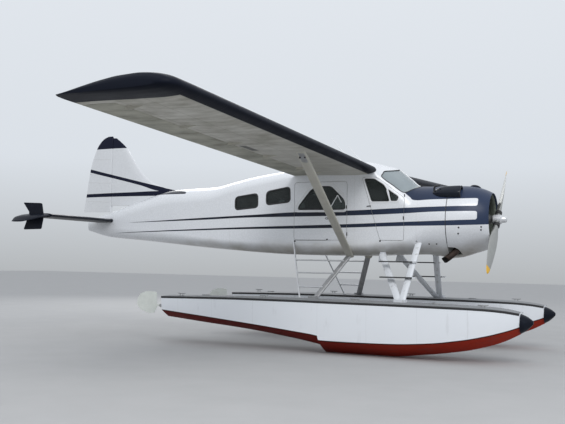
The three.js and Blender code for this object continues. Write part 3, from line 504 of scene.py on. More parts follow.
# The two bands of the fin, which run forward and meet in a point on the fuselage's shoulder
UPPER_BAND_TOP = [(-4.95, 3.560), (-4.75, 3.515), (-3.404, 3.205), (-2.630, 3.030), (-2.00, 2.888)]
UPPER_BAND_LOW = [(-4.95, 3.490), (-4.75, 3.443), (-3.404, 3.130), (-2.916, 2.995), (-2.00, 2.888)]
LOWER_BAND_TOP = [(-4.95, 2.964), (-3.60, 2.985), (-2.916, 2.995), (-2.00, 2.888)]
LOWER_BAND_LOW = [(-4.95, 2.890), (-3.60, 2.896), (-2.300, 2.889), (-2.00, 2.886)]


def fin_bands(paint, x, z):
    """1 inside the two bands that taper forward from the rudder."""
    upper = paint.between(z, paint.over(x, UPPER_BAND_LOW), paint.over(x, UPPER_BAND_TOP))
    lower = paint.between(z, paint.over(x, LOWER_BAND_LOW), paint.over(x, LOWER_BAND_TOP))
    return (upper + lower) * paint.above(-2.02 - x, 0.0, 0.01)


def white_and_navy(name):
    """The aircraft's white gloss enamel with its navy stripes and nose, duller and browner low down, partly from dirt
    and partly as painted shade under the belly.
    """
    paint = Finish(name)
    spot, (x, y, z) = paint.place()
    top_1, low_1 = paint.over(x, UPPER_STRIPE_TOP), paint.over(x, UPPER_STRIPE_LOW)
    top_2, low_2 = paint.over(x, LOWER_STRIPE_TOP), paint.over(x, LOWER_STRIPE_LOW)
    stripes = (paint.between(z, low_1, top_1) * paint.above(x, -3.45, 0.1)
               + paint.between(z, low_2, top_2) * paint.above(x, -3.85, 0.1))
    deck_rear = DECK_REAR_X + DECK_REAR_RAKE * (0.6 - y.math("ABSOLUTE"))
    deck_edge = paint.over(x, NOSE_DECK_EDGE)
    deck = paint.above(z, deck_edge) * paint.above(x, deck_rear, 0.003)
    ends, outlines = 1.0, 0.0
    for top, low in ((deck_edge, top_1), (low_1, top_2)):
        middle, reach = (top + low) * 0.5, (top - low) * 0.5 - PANEL_ROUND
        past = (x - (PANEL_FRONT_X - PANEL_ROUND)).math("MAXIMUM", 0.0)
        aside = ((z - middle).math("ABSOLUTE") - reach).math("MAXIMUM", 0.0)
        outside = (past * past + aside * aside).math("SQRT")
        ends = paint.above(outside, PANEL_ROUND) * ends
        outlines = paint.between(outside, PANEL_ROUND * 0.50, PANEL_ROUND * 0.62) * paint.above(past, 0.001) + outlines
    front = ends * paint.above(x, PANEL_FRONT_X - PANEL_ROUND) * paint.above(z, low_2)
    flanks = fin_bands(paint, x, z) * paint.above(y.math("ABSOLUTE"), 0.115, 0.01)
    navy = (stripes + deck + front + flanks).math("MINIMUM", 1.0)
    cloud = paint.noise(spot, 2.2, 4.0)
    streak = paint.noise(spot, 9.0, 4.0, 0.6, (0.35, 1.0, 1.6))
    # Darker and browner towards the bottom: partly real dirt, partly painted shade under the belly.
    grime_and_belly_shade = paint.ramp(z - cloud * 0.35, GRIME_SHADE_TOP, GRIME_SHADE_FULL, True)
    smudge = paint.ramp(streak, 0.58, 0.8) * 0.10
    seams = sum(paint.between(x, place - 0.002, place + 0.002, 0.002) for place in SEAMS_X) * 0.30
    white = paint.mix(grime_and_belly_shade * 0.95 + smudge + outlines * 0.5 + seams, WHITE, BEIGE)
    worn = paint.noise(spot, 40.0, 2.0)
    wave = paint.bump(paint.noise(spot, 3.0, 2.0), 0.02, 0.12)
    paint.done(Base_Color=white, Roughness=worn * 0.14 + 0.20 + grime_and_belly_shade * 0.3, Coat_Weight=0.5, Coat_Roughness=0.12,
               Normal=wave)
    chalk = paint.ramp(cloud, 0.42, 0.72)
    navy_colour = paint.mix(paint.above(x, 2.3, 1.6), (0.005, 0.007, 0.015, 1), NAVY)
    return paint.layered(navy, Base_Color=paint.mix(chalk * 0.25, navy_colour, (0.040, 0.060, 0.112, 1)),
                         Roughness=worn * 0.16 + 0.26, Specular_IOR_Level=0.28, Normal=wave)


def grained(name, colours, grain, rough, dents=None, part=1.0, edge=None, **sockets):
    """A material of two colours mixed by one cloudy grain, or by a part of it or of its patches over an edge.
    The roughness is the grain times one number plus another; dents are its bump's distance and strength."""
    finish = Finish(name)
    cloud = finish.noise(finish.place()[0], *grain)
    share = finish.above(cloud, *edge) if edge else cloud
    share = share * part if part < 1.0 else share
    if dents:
        sockets["Normal"] = finish.bump(cloud, *dents)
    finish.done(Base_Color=finish.mix(share, *colours), Roughness=cloud * rough[0] + rough[1], **sockets)
    return finish


fuselage_paint = white_and_navy("white_and_navy_enamel")
lining = grained("cabin_lining", ((0.36, 0.37, 0.35, 1), (0.48, 0.48, 0.46, 1)), (55.0,), (0.2, 0.6),
                 (0.001, 0.4)).material

# Cabin: a riveted shell of belly, two sides and roof, cut out for two doors and two windows a side and for the
# windscreen, with the nose deck and the firewall bay in front of it.
CREW_DOOR = [(2.236, 1.945), (2.680, 1.945), (2.680, 2.700), (2.170, 3.090), (1.885, 3.090)]
CABIN_DOOR = [(0.545, 1.945), (1.605, 1.945), (1.605, 3.030), (0.545, 3.030)]
CREW_WINDOW = [(2.075, 2.652), (2.408, 2.650), (2.357, 2.848), (2.296, 2.940), (2.118, 3.055), (1.936, 3.060)]
QUARTER_WINDOW = [(2.436, 2.655), (2.548, 2.655), (2.568, 2.725), (2.372, 2.860)]
CABIN_WINDOW = [(0.624, 2.515), (1.574, 2.512), (1.545, 2.685), (1.285, 2.938), (1.020, 2.943), (0.883, 2.880),
                (0.643, 2.588)]
CABIN_WINDOW_RIM = [(0.566, 2.475), (1.586, 2.472), (1.580, 2.735), (1.325, 2.995), (1.000, 3.000), (0.842, 2.925),
                    (0.572, 2.600)]
REAR_WINDOW = [(-0.732, 2.528), (-0.226, 2.570), (-0.234, 2.838), (-0.732, 2.775)]
MIDDLE_WINDOW = [(-0.043, 2.614), (0.460, 2.666), (0.448, 2.950), (-0.043, 2.866)]
WINDSCREEN = [(-0.576, 2.794), (-0.408, 2.868), (-0.190, 2.936), (0.0, 2.960), (0.190, 2.936), (0.408, 2.868),
              (0.576, 2.794), (0.602, 2.960), (0.612, 3.110), (0.500, 3.207), (0.0, 3.281), (-0.500, 3.207),
              (-0.612, 3.110), (-0.602, 2.960)]
DOOR_GAP, THROUGH = 0.006, (0.25, 0.90)
NOSE_DECK_X, NOSE_DECK_Z = 2.210, 2.760


def rounded(outline, radius, steps=6):
    """Closed outline with its corners rounded: by each corner, points on the curve
    (1 - t)^2 a + 2 t (1 - t) corner + t^2 b, where a and b lie a radius's reach along its two sides."""
    corner = np.asarray(outline, float)
    before, after = np.roll(corner, 1, 0) - corner, np.roll(corner, -1, 0) - corner
    long_1, long_2 = (np.linalg.norm(side, axis=1, keepdims=True) for side in (before, after))
    reach = np.minimum(np.minimum(long_1, long_2) * 0.48, radius)
    a, b = corner + before / long_1 * reach, corner + after / long_2 * reach
    t = np.linspace(0, 1, steps + 1)[None, :, None]
    return ((1 - t) ** 2 * a[:, None] + 2 * t * (1 - t) * corner[:, None] + t * t * b[:, None]).reshape(-1, 2)


def grown(outline, distance):
    """Closed outline moved outwards by a distance along the bisector of every corner, inwards if negative."""
    points = np.asarray(outline, float)
    area = (points[:, 0] * np.roll(points[:, 1], -1) - np.roll(points[:, 0], -1) * points[:, 1]).sum()
    before, after = points - np.roll(points, 1, 0), np.roll(points, -1, 0) - points
    first, second = unit(before), unit(after)
    n1, n2 = (np.stack([side[:, 1], -side[:, 0]], -1) * np.sign(area) for side in (first, second))
    bisector = n1 + n2
    return points + bisector * (2 * distance / (bisector ** 2).sum(1, keepdims=True))


def across_x(outline, x0, x1):
    """An outline in y and z carried straight from x0 to x1."""
    outline = np.asarray(outline, float)
    flat = np.stack([np.zeros(len(outline)), outline[:, 0], outline[:, 1]], -1)
    return loft(np.stack([flat + (x0, 0, 0), flat + (x1, 0, 0)]))


CREW_HOLE, QUARTER_HOLE = rounded(CREW_WINDOW, 0.030), rounded(QUARTER_WINDOW, 0.024)
CABIN_HOLE = rounded(CABIN_WINDOW, 0.055)
REAR_HOLE, MIDDLE_HOLE = rounded(REAR_WINDOW, 0.075), rounded(MIDDLE_WINDOW, 0.075)
CREW_EDGE, CABIN_EDGE = rounded(CREW_DOOR, 0.05), rounded(CABIN_DOOR, 0.07)
SCREEN_HOLE = rounded(WINDSCREEN, 0.035)
cabin_skin = loft(section_rings(stations(CABIN_REAR, CABIN_FRONT)))
cabin_room = loft(section_rings(CABIN_SECTIONS[:, 0], 0.0, CABIN_SECTIONS))
screen_cut = across_x(SCREEN_HOLE, 2.15, 2.89)
deck_gap = block((NOSE_DECK_X, -0.8, NOSE_DECK_Z), (3.0, 0.8, 3.3))
put("cabin_belly", carved(cabin_skin, (), [block((-1, -0.8, 1.5), (3, 0.8, FLOOR_Z))]), fuselage_paint,
    replaces=["cabin_floor"], slot="white_paint", skin=True, lining=lining)
crew_holes = [on_side(prism(CREW_EDGE, *THROUGH), sign) for _, sign in SIDES]
put("cabin_top", carved(cabin_skin, [cabin_room, screen_cut, *crew_holes],
                        [block((-1, -0.8, ROOF_SPLIT_Z), (2.6, 0.8, 3.6))]),
    fuselage_paint, replaces=["cabin_roof"], slot="white_paint", skin=True, lining=lining)
side_holes = [prism(outline, *THROUGH) for outline in (CREW_EDGE, CABIN_EDGE, REAR_HOLE, MIDDLE_HOLE)]
cabin_side = carved(cabin_skin, [cabin_room, screen_cut, deck_gap, *side_holes],
                    [block((-1, 0, FLOOR_Z), (3, 0.8, ROOF_SPLIT_Z))])
pair("cabin_wall", cabin_side, fuselage_paint, replaces="cabin_side", slot="white_paint", skin=True, lining=lining)
nose_deck = carved(cabin_skin, [cabin_room, screen_cut, *crew_holes],
                   [block((NOSE_DECK_X, -0.8, NOSE_DECK_Z), (CABIN_FRONT, 0.8, ROOF_SPLIT_Z))])
nose_bay = loft(section_rings(stations(CABIN_FRONT, NOSE_END - 0.004, 0.025)))
put("nose_bay", joined(nose_bay, nose_deck), fuselage_paint, replaces=["nose_section"], slot="white_paint_steel",
    skin=True, lining=lining)

# Doors: panels of the cabin's own skin on hinges along their front edges, with a running gap all round that
# shows as a dark line.
crew_panel = carved(cabin_skin, [cabin_room, prism(CREW_HOLE, *THROUGH), prism(QUARTER_HOLE, *THROUGH)],
                    [prism(grown(CREW_EDGE, -DOOR_GAP), *THROUGH)])
cabin_panel = carved(cabin_skin, [cabin_room, prism(CABIN_HOLE, *THROUGH)],
                     [prism(grown(CABIN_EDGE, -DOOR_GAP), *THROUGH)])
for name, panel in (("crew_door", crew_panel), ("cabin_door", cabin_panel)):
    pair(f"{name}_panel", panel, fuselage_paint, name, name, slot="white_paint", skin=True, lining=lining)

# Rear fuselage: a tapering tube of flush-riveted sheet behind the cabin, closed at the tail post and hollow
# inside from the cabin's rear wall on.
rear_skin = loft(section_rings(stations(TAIL_END, CABIN_REAR, 0.04)))
rear_room = loft(section_rings(stations(-4.0, CABIN_REAR - 0.02, 0.2), -0.018))
hatch = block((CABIN_REAR - 0.1, -0.25, 2.25), (CABIN_REAR + 0.01, 0.25, 2.75))
TAIL_Z, TAIL_HALF_THICK = 2.360, 0.040
tail_slot = block((-4.50, -0.4, TAIL_Z - TAIL_HALF_THICK), (-3.99, 0.4, TAIL_Z + TAIL_HALF_THICK))
put("tail_cone", carved(rear_skin, [rear_room, hatch, tail_slot]), fuselage_paint, replaces=["rear_fuselage"],
    slot="white_paint", skin=True, lining=lining)

# Windows: smoke-tinted acrylic panes set into the skin, the rear ones in thick black rubber seals, the door ones
# in slim dark beading with raised white rims and a small vent framed in the cabin door's pane.
PANE_DEPTH, PANE_THICK = 0.012, 0.005


def glazed(name, colours, grain, rough, clear, share):
    """A grained material that covers a share of what shows through it in a clear tint."""
    finish = grained(name, colours, grain, rough)
    through = finish.node("BsdfTransparent", None, {"Color": clear})
    cover = Signal(finish, finish.shader.outputs[0])
    finish.surface(finish.node("MixShader", None, {0: share, 1: through, 2: cover}))
    return finish


acrylic = glazed("tinted_acrylic", ((0.016, 0.020, 0.020, 1), (0.07, 0.08, 0.078, 1)), (6.0, 4.0), (0.08, 0.03),
                 (0.62, 0.66, 0.65, 1), 0.42)
pane_skin = carved(loft(section_rings(stations(-0.84, 2.90), -PANE_DEPTH)),
                   [loft(section_rings(stations(-0.845, 2.905), -PANE_DEPTH - PANE_THICK))])
for node, body, outlines in (("side_glass", None, (REAR_HOLE, MIDDLE_HOLE)),
                             ("crew_door_glass", "crew_door", (CREW_HOLE, QUARTER_HOLE)),
                             ("cabin_door_glass", "cabin_door", (CABIN_HOLE,))):
    panes = joined(*(carved(pane_skin, (), [prism(outline, *THROUGH)]) for outline in outlines))
    pair(node.replace("glass", "panes"), panes, acrylic.material, body, node, slot="glass")
rubber = grained("black_rubber", ((0.010, 0.010, 0.011, 1), (0.03, 0.03, 0.031, 1)), (90.0,), (0.2, 0.5),
                 (0.0008, 0.5))


def swept(path, profile, normals, closed=True):
    """Band along a path lying on a surface: each profile point (across, out) goes across along the path's
    direction crossed with the surface normal, and out along the normal."""
    ahead = np.roll(path, -1, 0) - np.roll(path, 1, 0)
    if not closed:
        ahead[0], ahead[-1] = path[1] - path[0], path[-1] - path[-2]
    aside = unit(np.cross(unit(ahead), normals))
    across, out = np.asarray(profile, float).T
    rings = path[:, None] + aside[:, None] * across[None, :, None] + normals[:, None] * out[None, :, None]
    return loft(rings, closed=closed)


def along_outline(outline, step=0.02):
    """Evenly spaced points round a closed outline."""
    points = np.vstack([outline, outline[:1]])
    far = np.concatenate([[0], np.cumsum(np.linalg.norm(np.diff(points, axis=0), axis=1))])
    places = np.linspace(0, far[-1], int(far[-1] / step) + 1)[:-1]
    return np.stack([np.interp(places, far, points[:, k]) for k in (0, 1)], -1)


def band(outline, profile, step=0.015):
    """A swept band round an outline in x and z laid on the port side of the skin."""
    x, z = along_outline(outline, step).T
    path = np.stack([x, skin_y(x, z), z], -1)
    return swept(path, profile, skin_normals(path))


def half_round(width, rise, sink=0.004, steps=6):
    """Profile of a bead: a half ellipse of a width and rise on a base sunk below the surface."""
    turn = np.linspace(0, np.pi, steps + 1)
    top = np.stack([width / 2 * np.cos(turn), rise * np.sin(turn)], -1)
    return np.vstack([top, [(-width / 2, -sink), (width / 2, -sink)]])


for name, body, outlines, width, rise in (
        ("rear_window_seals", None, (REAR_HOLE, MIDDLE_HOLE), 0.026, 0.007),
        ("crew_window_beads", "crew_door", (CREW_HOLE, QUARTER_HOLE), 0.013, 0.004),
        ("cabin_window_beads", "cabin_door", (CABIN_HOLE,), 0.016, 0.005)):
    beads = joined(*(band(outline, half_round(width, rise)) for outline in outlines))
    pair(name, beads, rubber.material, body, slot="black_plastic")
rim_white = grained("white_trim_enamel", ((0.82, 0.83, 0.85, 1), (0.55, 0.54, 0.51, 1)), (14.0, 4.0), (0.15, 0.22),
                    part=0.3, Coat_Weight=0.4)
vent_bars = [[(1.262, 2.525), (1.412, 2.775)], [(1.412, 2.775), (1.490, 2.640)]]
vent = [swept(np.stack([x, skin_y(x, z) - 0.006, z], -1), half_round(0.016, 0.006),
              np.repeat([(0.0, 1.0, 0.0)], 4, 0), closed=False)
        for x, z in (np.linspace(*bar, 4).T for bar in vent_bars)]
for name, body, shapes in (
        ("crew_window_rims", "crew_door", [band(grown(CREW_HOLE, 0.019), half_round(0.020, 0.006)),
                                           band(grown(QUARTER_HOLE, 0.019), half_round(0.018, 0.006))]),
        ("cabin_window_rims", "cabin_door", [band(grown(CABIN_HOLE, 0.018), half_round(0.016, 0.005)),
                                             band(rounded(CABIN_WINDOW_RIM, 0.05), half_round(0.022, 0.008)), *vent])):
    pair(name, joined(*shapes), rim_white.material, body, slot="white_paint")

# Windscreen: two large curved acrylic panes meeting at a thin centre post, in a white-painted frame that
# follows the skin from the nose deck to the roof.
# The panes' light grey colour is a painted reflection of the sky, laid over their clear tint.
screen_glass_painted_sky = glazed("windscreen_acrylic_painted_sky", ((0.36, 0.41, 0.43, 1), (0.50, 0.55, 0.57, 1)), (4.0, 4.0),
                      (0.10, 0.06), (0.80, 0.86, 0.88, 1), 0.62)
put("windscreen_panes", carved(pane_skin, (), [across_x(SCREEN_HOLE, 2.12, 2.895)]), screen_glass_painted_sky.material,
    replaces=["windshield"], slot="glass")


def onto_skin(outline, x0=2.12, x1=2.90, tries=40):
    """Points of an outline in y and z carried along x onto the skin, by halving the span that crosses it."""
    y, z = np.asarray(outline, float).T
    low, high = np.full(len(y), x0), np.full(len(y), x1)
    for _ in range(tries):
        middle = (low + high) / 2
        inside = skin_level(np.stack([middle, y, z], -1)) < 0
        low, high = np.where(inside, middle, low), np.where(inside, high, middle)
    return np.stack([(low + high) / 2, y, z], -1)


screen_path = onto_skin(along_outline(SCREEN_HOLE, 0.02))
post_z = np.linspace(2.962, 3.280, 24)
post_path = onto_skin(np.stack([np.zeros(24), post_z], -1))
put("windscreen_seal", swept(screen_path, half_round(0.016, 0.004), skin_normals(screen_path)), rubber.material,
    slot="black_plastic")
put("windscreen_post", swept(post_path, half_round(0.032, 0.007, 0.016), skin_normals(post_path), closed=False),
    rim_white.material, slot="white_paint")

# Wings: riveted aluminium skin over ribs, bare and weathered, with the leading edge and the rounded tip painted
# navy. The box ends in a cove that the flap and the aileron turn in; root and tip have the full section.
# Columns: root of the part of the chord, upper and lower surface as parts of the chord
AIRFOIL = np.array([
    (0, 0, 0), (0.0125, 0.0307, -0.0179), (0.05, 0.0574, -0.0327), (0.1, 0.0784, -0.0398), (0.2, 0.1025, -0.0415),
    (0.3, 0.1125, -0.0375), (0.45, 0.11, -0.03), (0.6, 0.093, -0.0214), (0.672, 0.0812, -0.0172),
    (0.8, 0.0555, -0.0103), (0.9, 0.0308, -0.0057), (1, 0.003, -0.003),
])
AIRFOIL_BY_ROOT = np.column_stack([np.sqrt(AIRFOIL[:, 0]), AIRFOIL[:, 1:]])
CHORD, LEADING_X, WING_ROOT_Z, SIDE_Y = 1.610, 2.140, 3.212, 0.650
DIHEDRAL, INCIDENCE = np.radians((1.95, 1.8))
SPAR_PART, UPPER_LIP, LOWER_LIP = 0.672, 0.700, 0.688
FLAP_SPAN, AILERON_SPAN, WING_END = (0.690, 3.700), (3.712, 6.800), 7.315
# Columns: span y, leading edge set back, trailing edge set forward, thickness factor
WING_TIP = np.array([(6.808, 0, 0, 1), (7.080, 0.010, 0, 1), (7.240, 0.060, 0.012, 0.85), (7.300, 0.140, 0.035, 0.55),
                     (7.315, 0.190, 0.045, 0.35)])


def in_place(points):
    """Level wing points set at the wing's incidence about its leading edge, then swung up by its dihedral
    about the cabin's side: two turns and two shifts."""
    x, y, z = (points - (LEADING_X, SIDE_Y, 0)).T
    x, z = x * np.cos(INCIDENCE) - z * np.sin(INCIDENCE), x * np.sin(INCIDENCE) + z * np.cos(INCIDENCE)
    y, z = y * np.cos(DIHEDRAL) - z * np.sin(DIHEDRAL), y * np.sin(DIHEDRAL) + z * np.cos(DIHEDRAL)
    return np.stack([x + LEADING_X, y + SIDE_Y, z + WING_ROOT_Z], -1)


def airfoil(parts, side):
    """Height of the wing section's upper (0) or lower (1) surface at parts of the chord, faired over the root
    of the part, which keeps the nose round."""
    return faired(np.sqrt(parts), AIRFOIL_BY_ROOT)[:, side]


def wing_rings(span, outline, back=0.0, ahead=0.0, thick=1.0):
    """An outline of chord parts and heights carried along the span, with its chord and thickness changing."""
    span, back, ahead, thick = (np.asarray(v, float)[..., None] for v in np.broadcast_arrays(span, back, ahead, thick))
    part, height = outline.T
    chord = CHORD - back - ahead
    x, z = LEADING_X - back - part * chord, height * CHORD * thick
    return in_place(np.stack([x, np.broadcast_to(span, x.shape), z], -1).reshape(-1, 3)).reshape(*x.shape, 3)


nose_run = np.linspace(0, 1, 30)[1:] ** 1.6
upper_run, lower_run = nose_run[::-1] * UPPER_LIP, nose_run * LOWER_LIP
LIP = 0.003
cove = [(LOWER_LIP, airfoil([LOWER_LIP], 1)[0] + LIP), (SPAR_PART, airfoil([SPAR_PART], 1)[0] + LIP),
        (SPAR_PART, airfoil([SPAR_PART], 0)[0] - LIP), (UPPER_LIP, airfoil([UPPER_LIP], 0)[0] - LIP)]
box_outline = np.vstack([np.column_stack([upper_run, airfoil(upper_run, 0)]), [(0, 0)],
                         np.column_stack([lower_run, airfoil(lower_run, 1)]), cove])
full_outline = np.vstack([np.column_stack([nose_run[::-1], airfoil(nose_run[::-1], 0)]), [(0, 0)],
                          np.column_stack([nose_run, airfoil(nose_run, 1)])])
wing_box = loft(wing_rings(np.linspace(0.55, 6.808, 64), box_outline))
wing_root = loft(wing_rings(np.linspace(0.45, 0.682, 6), full_outline))
tip_run = 6.808 + (WING_END - 6.808) * np.sin(np.linspace(0, np.pi / 2, 30))
tip_back, tip_ahead, tip_thick = faired(tip_run, WING_TIP).T
wing_tip = loft(wing_rings(tip_run, full_outline, tip_back, tip_ahead, tip_thick))

DEEP_NAVY, RIB_PITCH = (0.007, 0.009, 0.016, 1), 0.305
skin_metal = Finish("weathered_wing_skin")
spot, (x, y, z) = skin_metal.place()
span_y = y.math("ABSOLUTE")
under = skin_metal.above(skin_metal.upward() * -1.0, 0.15, 0.1)
upper_edge, lower_edge = LEADING_X - 0.24, LEADING_X - 0.135
band_x = skin_metal.node("Mix", {"data_type": "FLOAT"}, {"Factor_Float": under, "A_Float": upper_edge,
                                                         "B_Float": lower_edge}, "Result_Float")
blue = (skin_metal.above(x, band_x, 0.004) + skin_metal.above(span_y, 6.93, 0.004)).math("MINIMUM", 1.0)
rib = (span_y / RIB_PITCH).math("FRACT") - 0.5
rib_line = skin_metal.above(rib.math("ABSOLUTE"), 0.478, 0.012)
spar_line = (skin_metal.between(x, LEADING_X - 0.62, LEADING_X - 0.605, 0.004)
             + skin_metal.between(x, LEADING_X - 1.02, LEADING_X - 1.005, 0.004))
streak = skin_metal.noise(spot, 7.0, 5.0, 0.65, (0.35, 1.0, 1.0))
blotch = skin_metal.noise(spot, 1.6, 5.0, 0.6)
fleck = skin_metal.noise(spot, 38.0, 3.0, 0.6, (0.5, 1.0, 1.0))
grime = (skin_metal.ramp(streak * 0.6 + blotch * 0.4, 0.38, 0.66)
         * under + (rib_line + spar_line) * 0.35 * under).math("MINIMUM", 1.0)
# Painted light: under the wing's inner part the grime is lightened, so that the shaded underside reads brighter.
inboard_painted_light = skin_metal.above(3.3 - span_y, 0.0, 0.4) * under
metal = skin_metal.mix(grime * (1 - inboard_painted_light * 0.45), (0.60, 0.585, 0.53, 1), (0.29, 0.275, 0.225, 1))
metal = skin_metal.mix(skin_metal.above(fleck, 0.66, 0.05) * 0.5, metal, (0.56, 0.56, 0.53, 1))
# Painted shade: a dark rectangle under the wing by the cove where flap and aileron meet, where the gap lies in shadow.
gap_shade_patch = skin_metal.between(span_y, 3.40, 3.84) * skin_metal.between(x, 1.07, 1.19) * under
metal = skin_metal.mix(gap_shade_patch * 0.8, metal, (0.03, 0.03, 0.03, 1))
dents = skin_metal.bump(rib_line * 0.5 + streak * 0.3, 0.004, 0.35)
skin_metal.done(Base_Color=metal, Roughness=grime * 0.15 + 0.45, Metallic=(1 - grime) * 0.5, Normal=dents)
skin_metal.layered(blue, Base_Color=DEEP_NAVY, Roughness=streak * 0.2 + 0.34, Specular_IOR_Level=0.06, Normal=dents)
cabin_solid = loft(section_rings(stations(-1.0, 2.9)))
wing_parts = [carved(part, [cabin_solid]) for part in (wing_box, wing_root)] + [wing_tip]
pair("wing_skin", joined(*wing_parts), skin_metal.material, replaces="wing", slot="bare_metal", crease=np.radians(40))

# Flaps and ailerons: thin metal surfaces with round noses centred on their hinges, grey-green and dull, with a
# rib under the skin every third of a metre.
HINGE_PART, HINGE_UP, HINGE_LOW, EDGE_HALF = 0.72, 0.0712, -0.0145, 0.0031
hinge_radius, hinge_height = (HINGE_UP - HINGE_LOW) / 2, (HINGE_UP + HINGE_LOW) / 2
turn = np.linspace(np.pi / 2, -np.pi / 2, 17)
surface_outline = np.vstack([
    np.column_stack([HINGE_PART - hinge_radius * np.cos(turn), hinge_height + hinge_radius * np.sin(turn)]),
    [(1.0, -EDGE_HALF), (1.0, EDGE_HALF)],
])
surface_paint = Finish("dull_grey_green")
spot, (x, y, z) = surface_paint.place()
rib = ((y.math("ABSOLUTE") / RIB_PITCH).math("FRACT") - 0.5).math("ABSOLUTE")
rib_line = surface_paint.above(rib, 0.47, 0.02)
patch = surface_paint.noise(spot, 3.5, 5.0, 0.6, (0.6, 1.0, 1.0))
stain = surface_paint.ramp(patch, 0.4, 0.7)
surface_paint.done(Base_Color=surface_paint.mix((stain + rib_line * 0.4).math("MINIMUM", 1.0), (0.43, 0.42, 0.35, 1),
                                                (0.22, 0.215, 0.17, 1)),
                   Roughness=patch * 0.2 + 0.45, Metallic=0.15,
                   Normal=surface_paint.bump(rib_line + patch * 0.3, 0.004, 0.5))
for name, span in (("flap", FLAP_SPAN), ("aileron", AILERON_SPAN)):
    shape = loft(wing_rings(stations(*span, 0.1), surface_outline))
    pair(f"{name}_skin", shape, surface_paint.material, name, name, slot="control_surface")

# Wing struts: one streamlined extruded tube a side, from a fitting on the lower cabin side to the wing's spar.
# The sleeve, bolts and eye at its upper end come with the wing fittings.
STRUT_FOOT, STRUT_HEAD, STRUT_SIDES = (1.618, 0.500, 1.660), (1.800, 3.290, 3.300), 40


def circle(steps):
    """Angles evenly spaced round a full turn."""
    return np.linspace(0, 2 * np.pi, steps, endpoint=False)


def strut_shape(foot, head, chord, thick, foot_share=1.0):
    """Streamlined bar between two points: at each angle the section is (c/2 cos t, k/2 sin t (1 + 0.35 cos t)),
    blunt towards the nose and fine towards the tail, its chord narrowing to a share of itself at the foot."""
    foot, head = np.array(foot), np.array(head)
    axis = (head - foot) / np.linalg.norm(head - foot)
    along = np.array([1.0, 0, 0]) - axis * axis[0]
    along /= np.linalg.norm(along)
    across = np.cross(axis, along)
    turn = circle(STRUT_SIDES)[:, None]
    ring = along * (chord / 2) * np.cos(turn) + across * (thick / 2) * np.sin(turn) * (1 + 0.35 * np.cos(turn)) / 1.06
    narrow = ring - along * (chord / 2) * np.cos(turn) * (1 - foot_share)
    return loft(np.stack([foot + narrow, foot * 0.5 + head * 0.5 + (narrow + ring) / 2, head + ring]))


strut_paint = grained("strut_grey_beige", ((0.45, 0.435, 0.38, 1), (0.58, 0.565, 0.50, 1)),
                      (8.0, 5.0, 0.6, (1.0, 1.0, 0.3)), (0.2, 0.40), (0.002, 0.3), Metallic=0.2)
pair("wing_strut_tube", strut_shape(STRUT_FOOT, STRUT_HEAD, 0.175, 0.062, 0.86), strut_paint.material,
     replaces="wing_strut", slot="strut_grey")

# Fin and rudder: a flat-sided fin growing out of a long dorsal fillet, and a balanced rudder behind it; white,
# with a navy cap, the two navy bands that run on from the fuselage, and faint ribs under the rudder's skin.
# Fin columns: height z, leading edge x, half thickness
FIN_SECTIONS = np.array([
    (2.700, -2.350, 0.038), (2.990, -2.480, 0.038), (3.061, -2.791, 0.038), (3.232, -3.181, 0.038),
    (3.479, -3.450, 0.037), (3.851, -3.727, 0.035), (3.965, -3.812, 0.034), (4.110, -3.980, 0.031),
    (4.192, -4.090, 0.026),
])
# Rudder columns: height z, trailing edge x, nose radius
RUDDER_SECTIONS = np.array([
    (2.562, -4.934, 0.038), (2.951, -4.867, 0.038), (3.511, -4.778, 0.037), (3.978, -4.616, 0.034),
    (4.109, -4.524, 0.031), (4.195, -4.420, 0.026), (4.238, -4.310, 0.012),
])
RUDDER_HINGE_X, FIN_REAR_X = -4.205, -4.159
CAP_LINE, RUDDER_RIBS_Z = 3.962, (2.78, 3.20, 3.38, 3.72)
tail_paint = Finish("fin_enamel")
spot, (x, y, z) = tail_paint.place()
navy = (fin_bands(tail_paint, x, z) + tail_paint.above(z, CAP_LINE)).math("MINIMUM", 1.0)
haze = tail_paint.noise(spot, 5.0, 4.0)
rudder_ribs = sum(tail_paint.between(z + (x + 4.2) * 0.05, place - 0.006, place + 0.006, 0.006)
                  for place in RUDDER_RIBS_Z) * tail_paint.above(-4.20 - x, 0.0)
tail_paint.done(Base_Color=tail_paint.mix(haze * 0.12 + rudder_ribs * 0.16, WHITE, BEIGE), Roughness=haze * 0.15 + 0.20,
                Coat_Weight=0.5, Coat_Roughness=0.12, Normal=tail_paint.bump(rudder_ribs, 0.003, 0.5))
tail_paint.layered(navy, Base_Color=(0.008, 0.010, 0.026, 1), Roughness=haze * 0.15 + 0.24, Specular_IOR_Level=0.14)

fin_z = np.concatenate([np.linspace(2.70, 2.99, 5), np.linspace(3.0, 4.11, 40), np.linspace(4.12, 4.192, 8)])
fin_le, fin_half = faired(fin_z, FIN_SECTIONS).T
fin_run = np.linspace(0, 1, 14)
fin_chord = (fin_le - FIN_REAR_X)[:, None]
fin_set = np.minimum(fin_run[None, :] ** 2 * 0.9, 0.35 + 0 * fin_chord)
fin_x = fin_le[:, None] - fin_chord * fin_set
fin_y = fin_half[:, None] * np.sqrt(np.clip(1 - (1 - fin_set / 0.35) ** 2, 0, 1))
fin_y[:, 0] = 0.0
fin_x, fin_y = np.hstack([fin_x, np.full((len(fin_z), 1), FIN_REAR_X)]), np.hstack([fin_y, fin_half[:, None]])
fin_rings = spread(np.hstack([fin_x, fin_x[:, :0:-1]]), np.hstack([fin_y, -fin_y[:, :0:-1]]), fin_z[:, None])
rear_solid = loft(section_rings(stations(TAIL_END + 0.001, -0.90, 0.05)))
put("fin_skin", carved(loft(fin_rings), [rear_solid]), tail_paint.material, replaces=["vertical_fin"],
    slot="white_paint")
rudder_z = np.concatenate([np.linspace(2.562, 4.10, 40), 4.10 + 0.138 * np.sin(np.linspace(0.1, np.pi / 2, 12))])
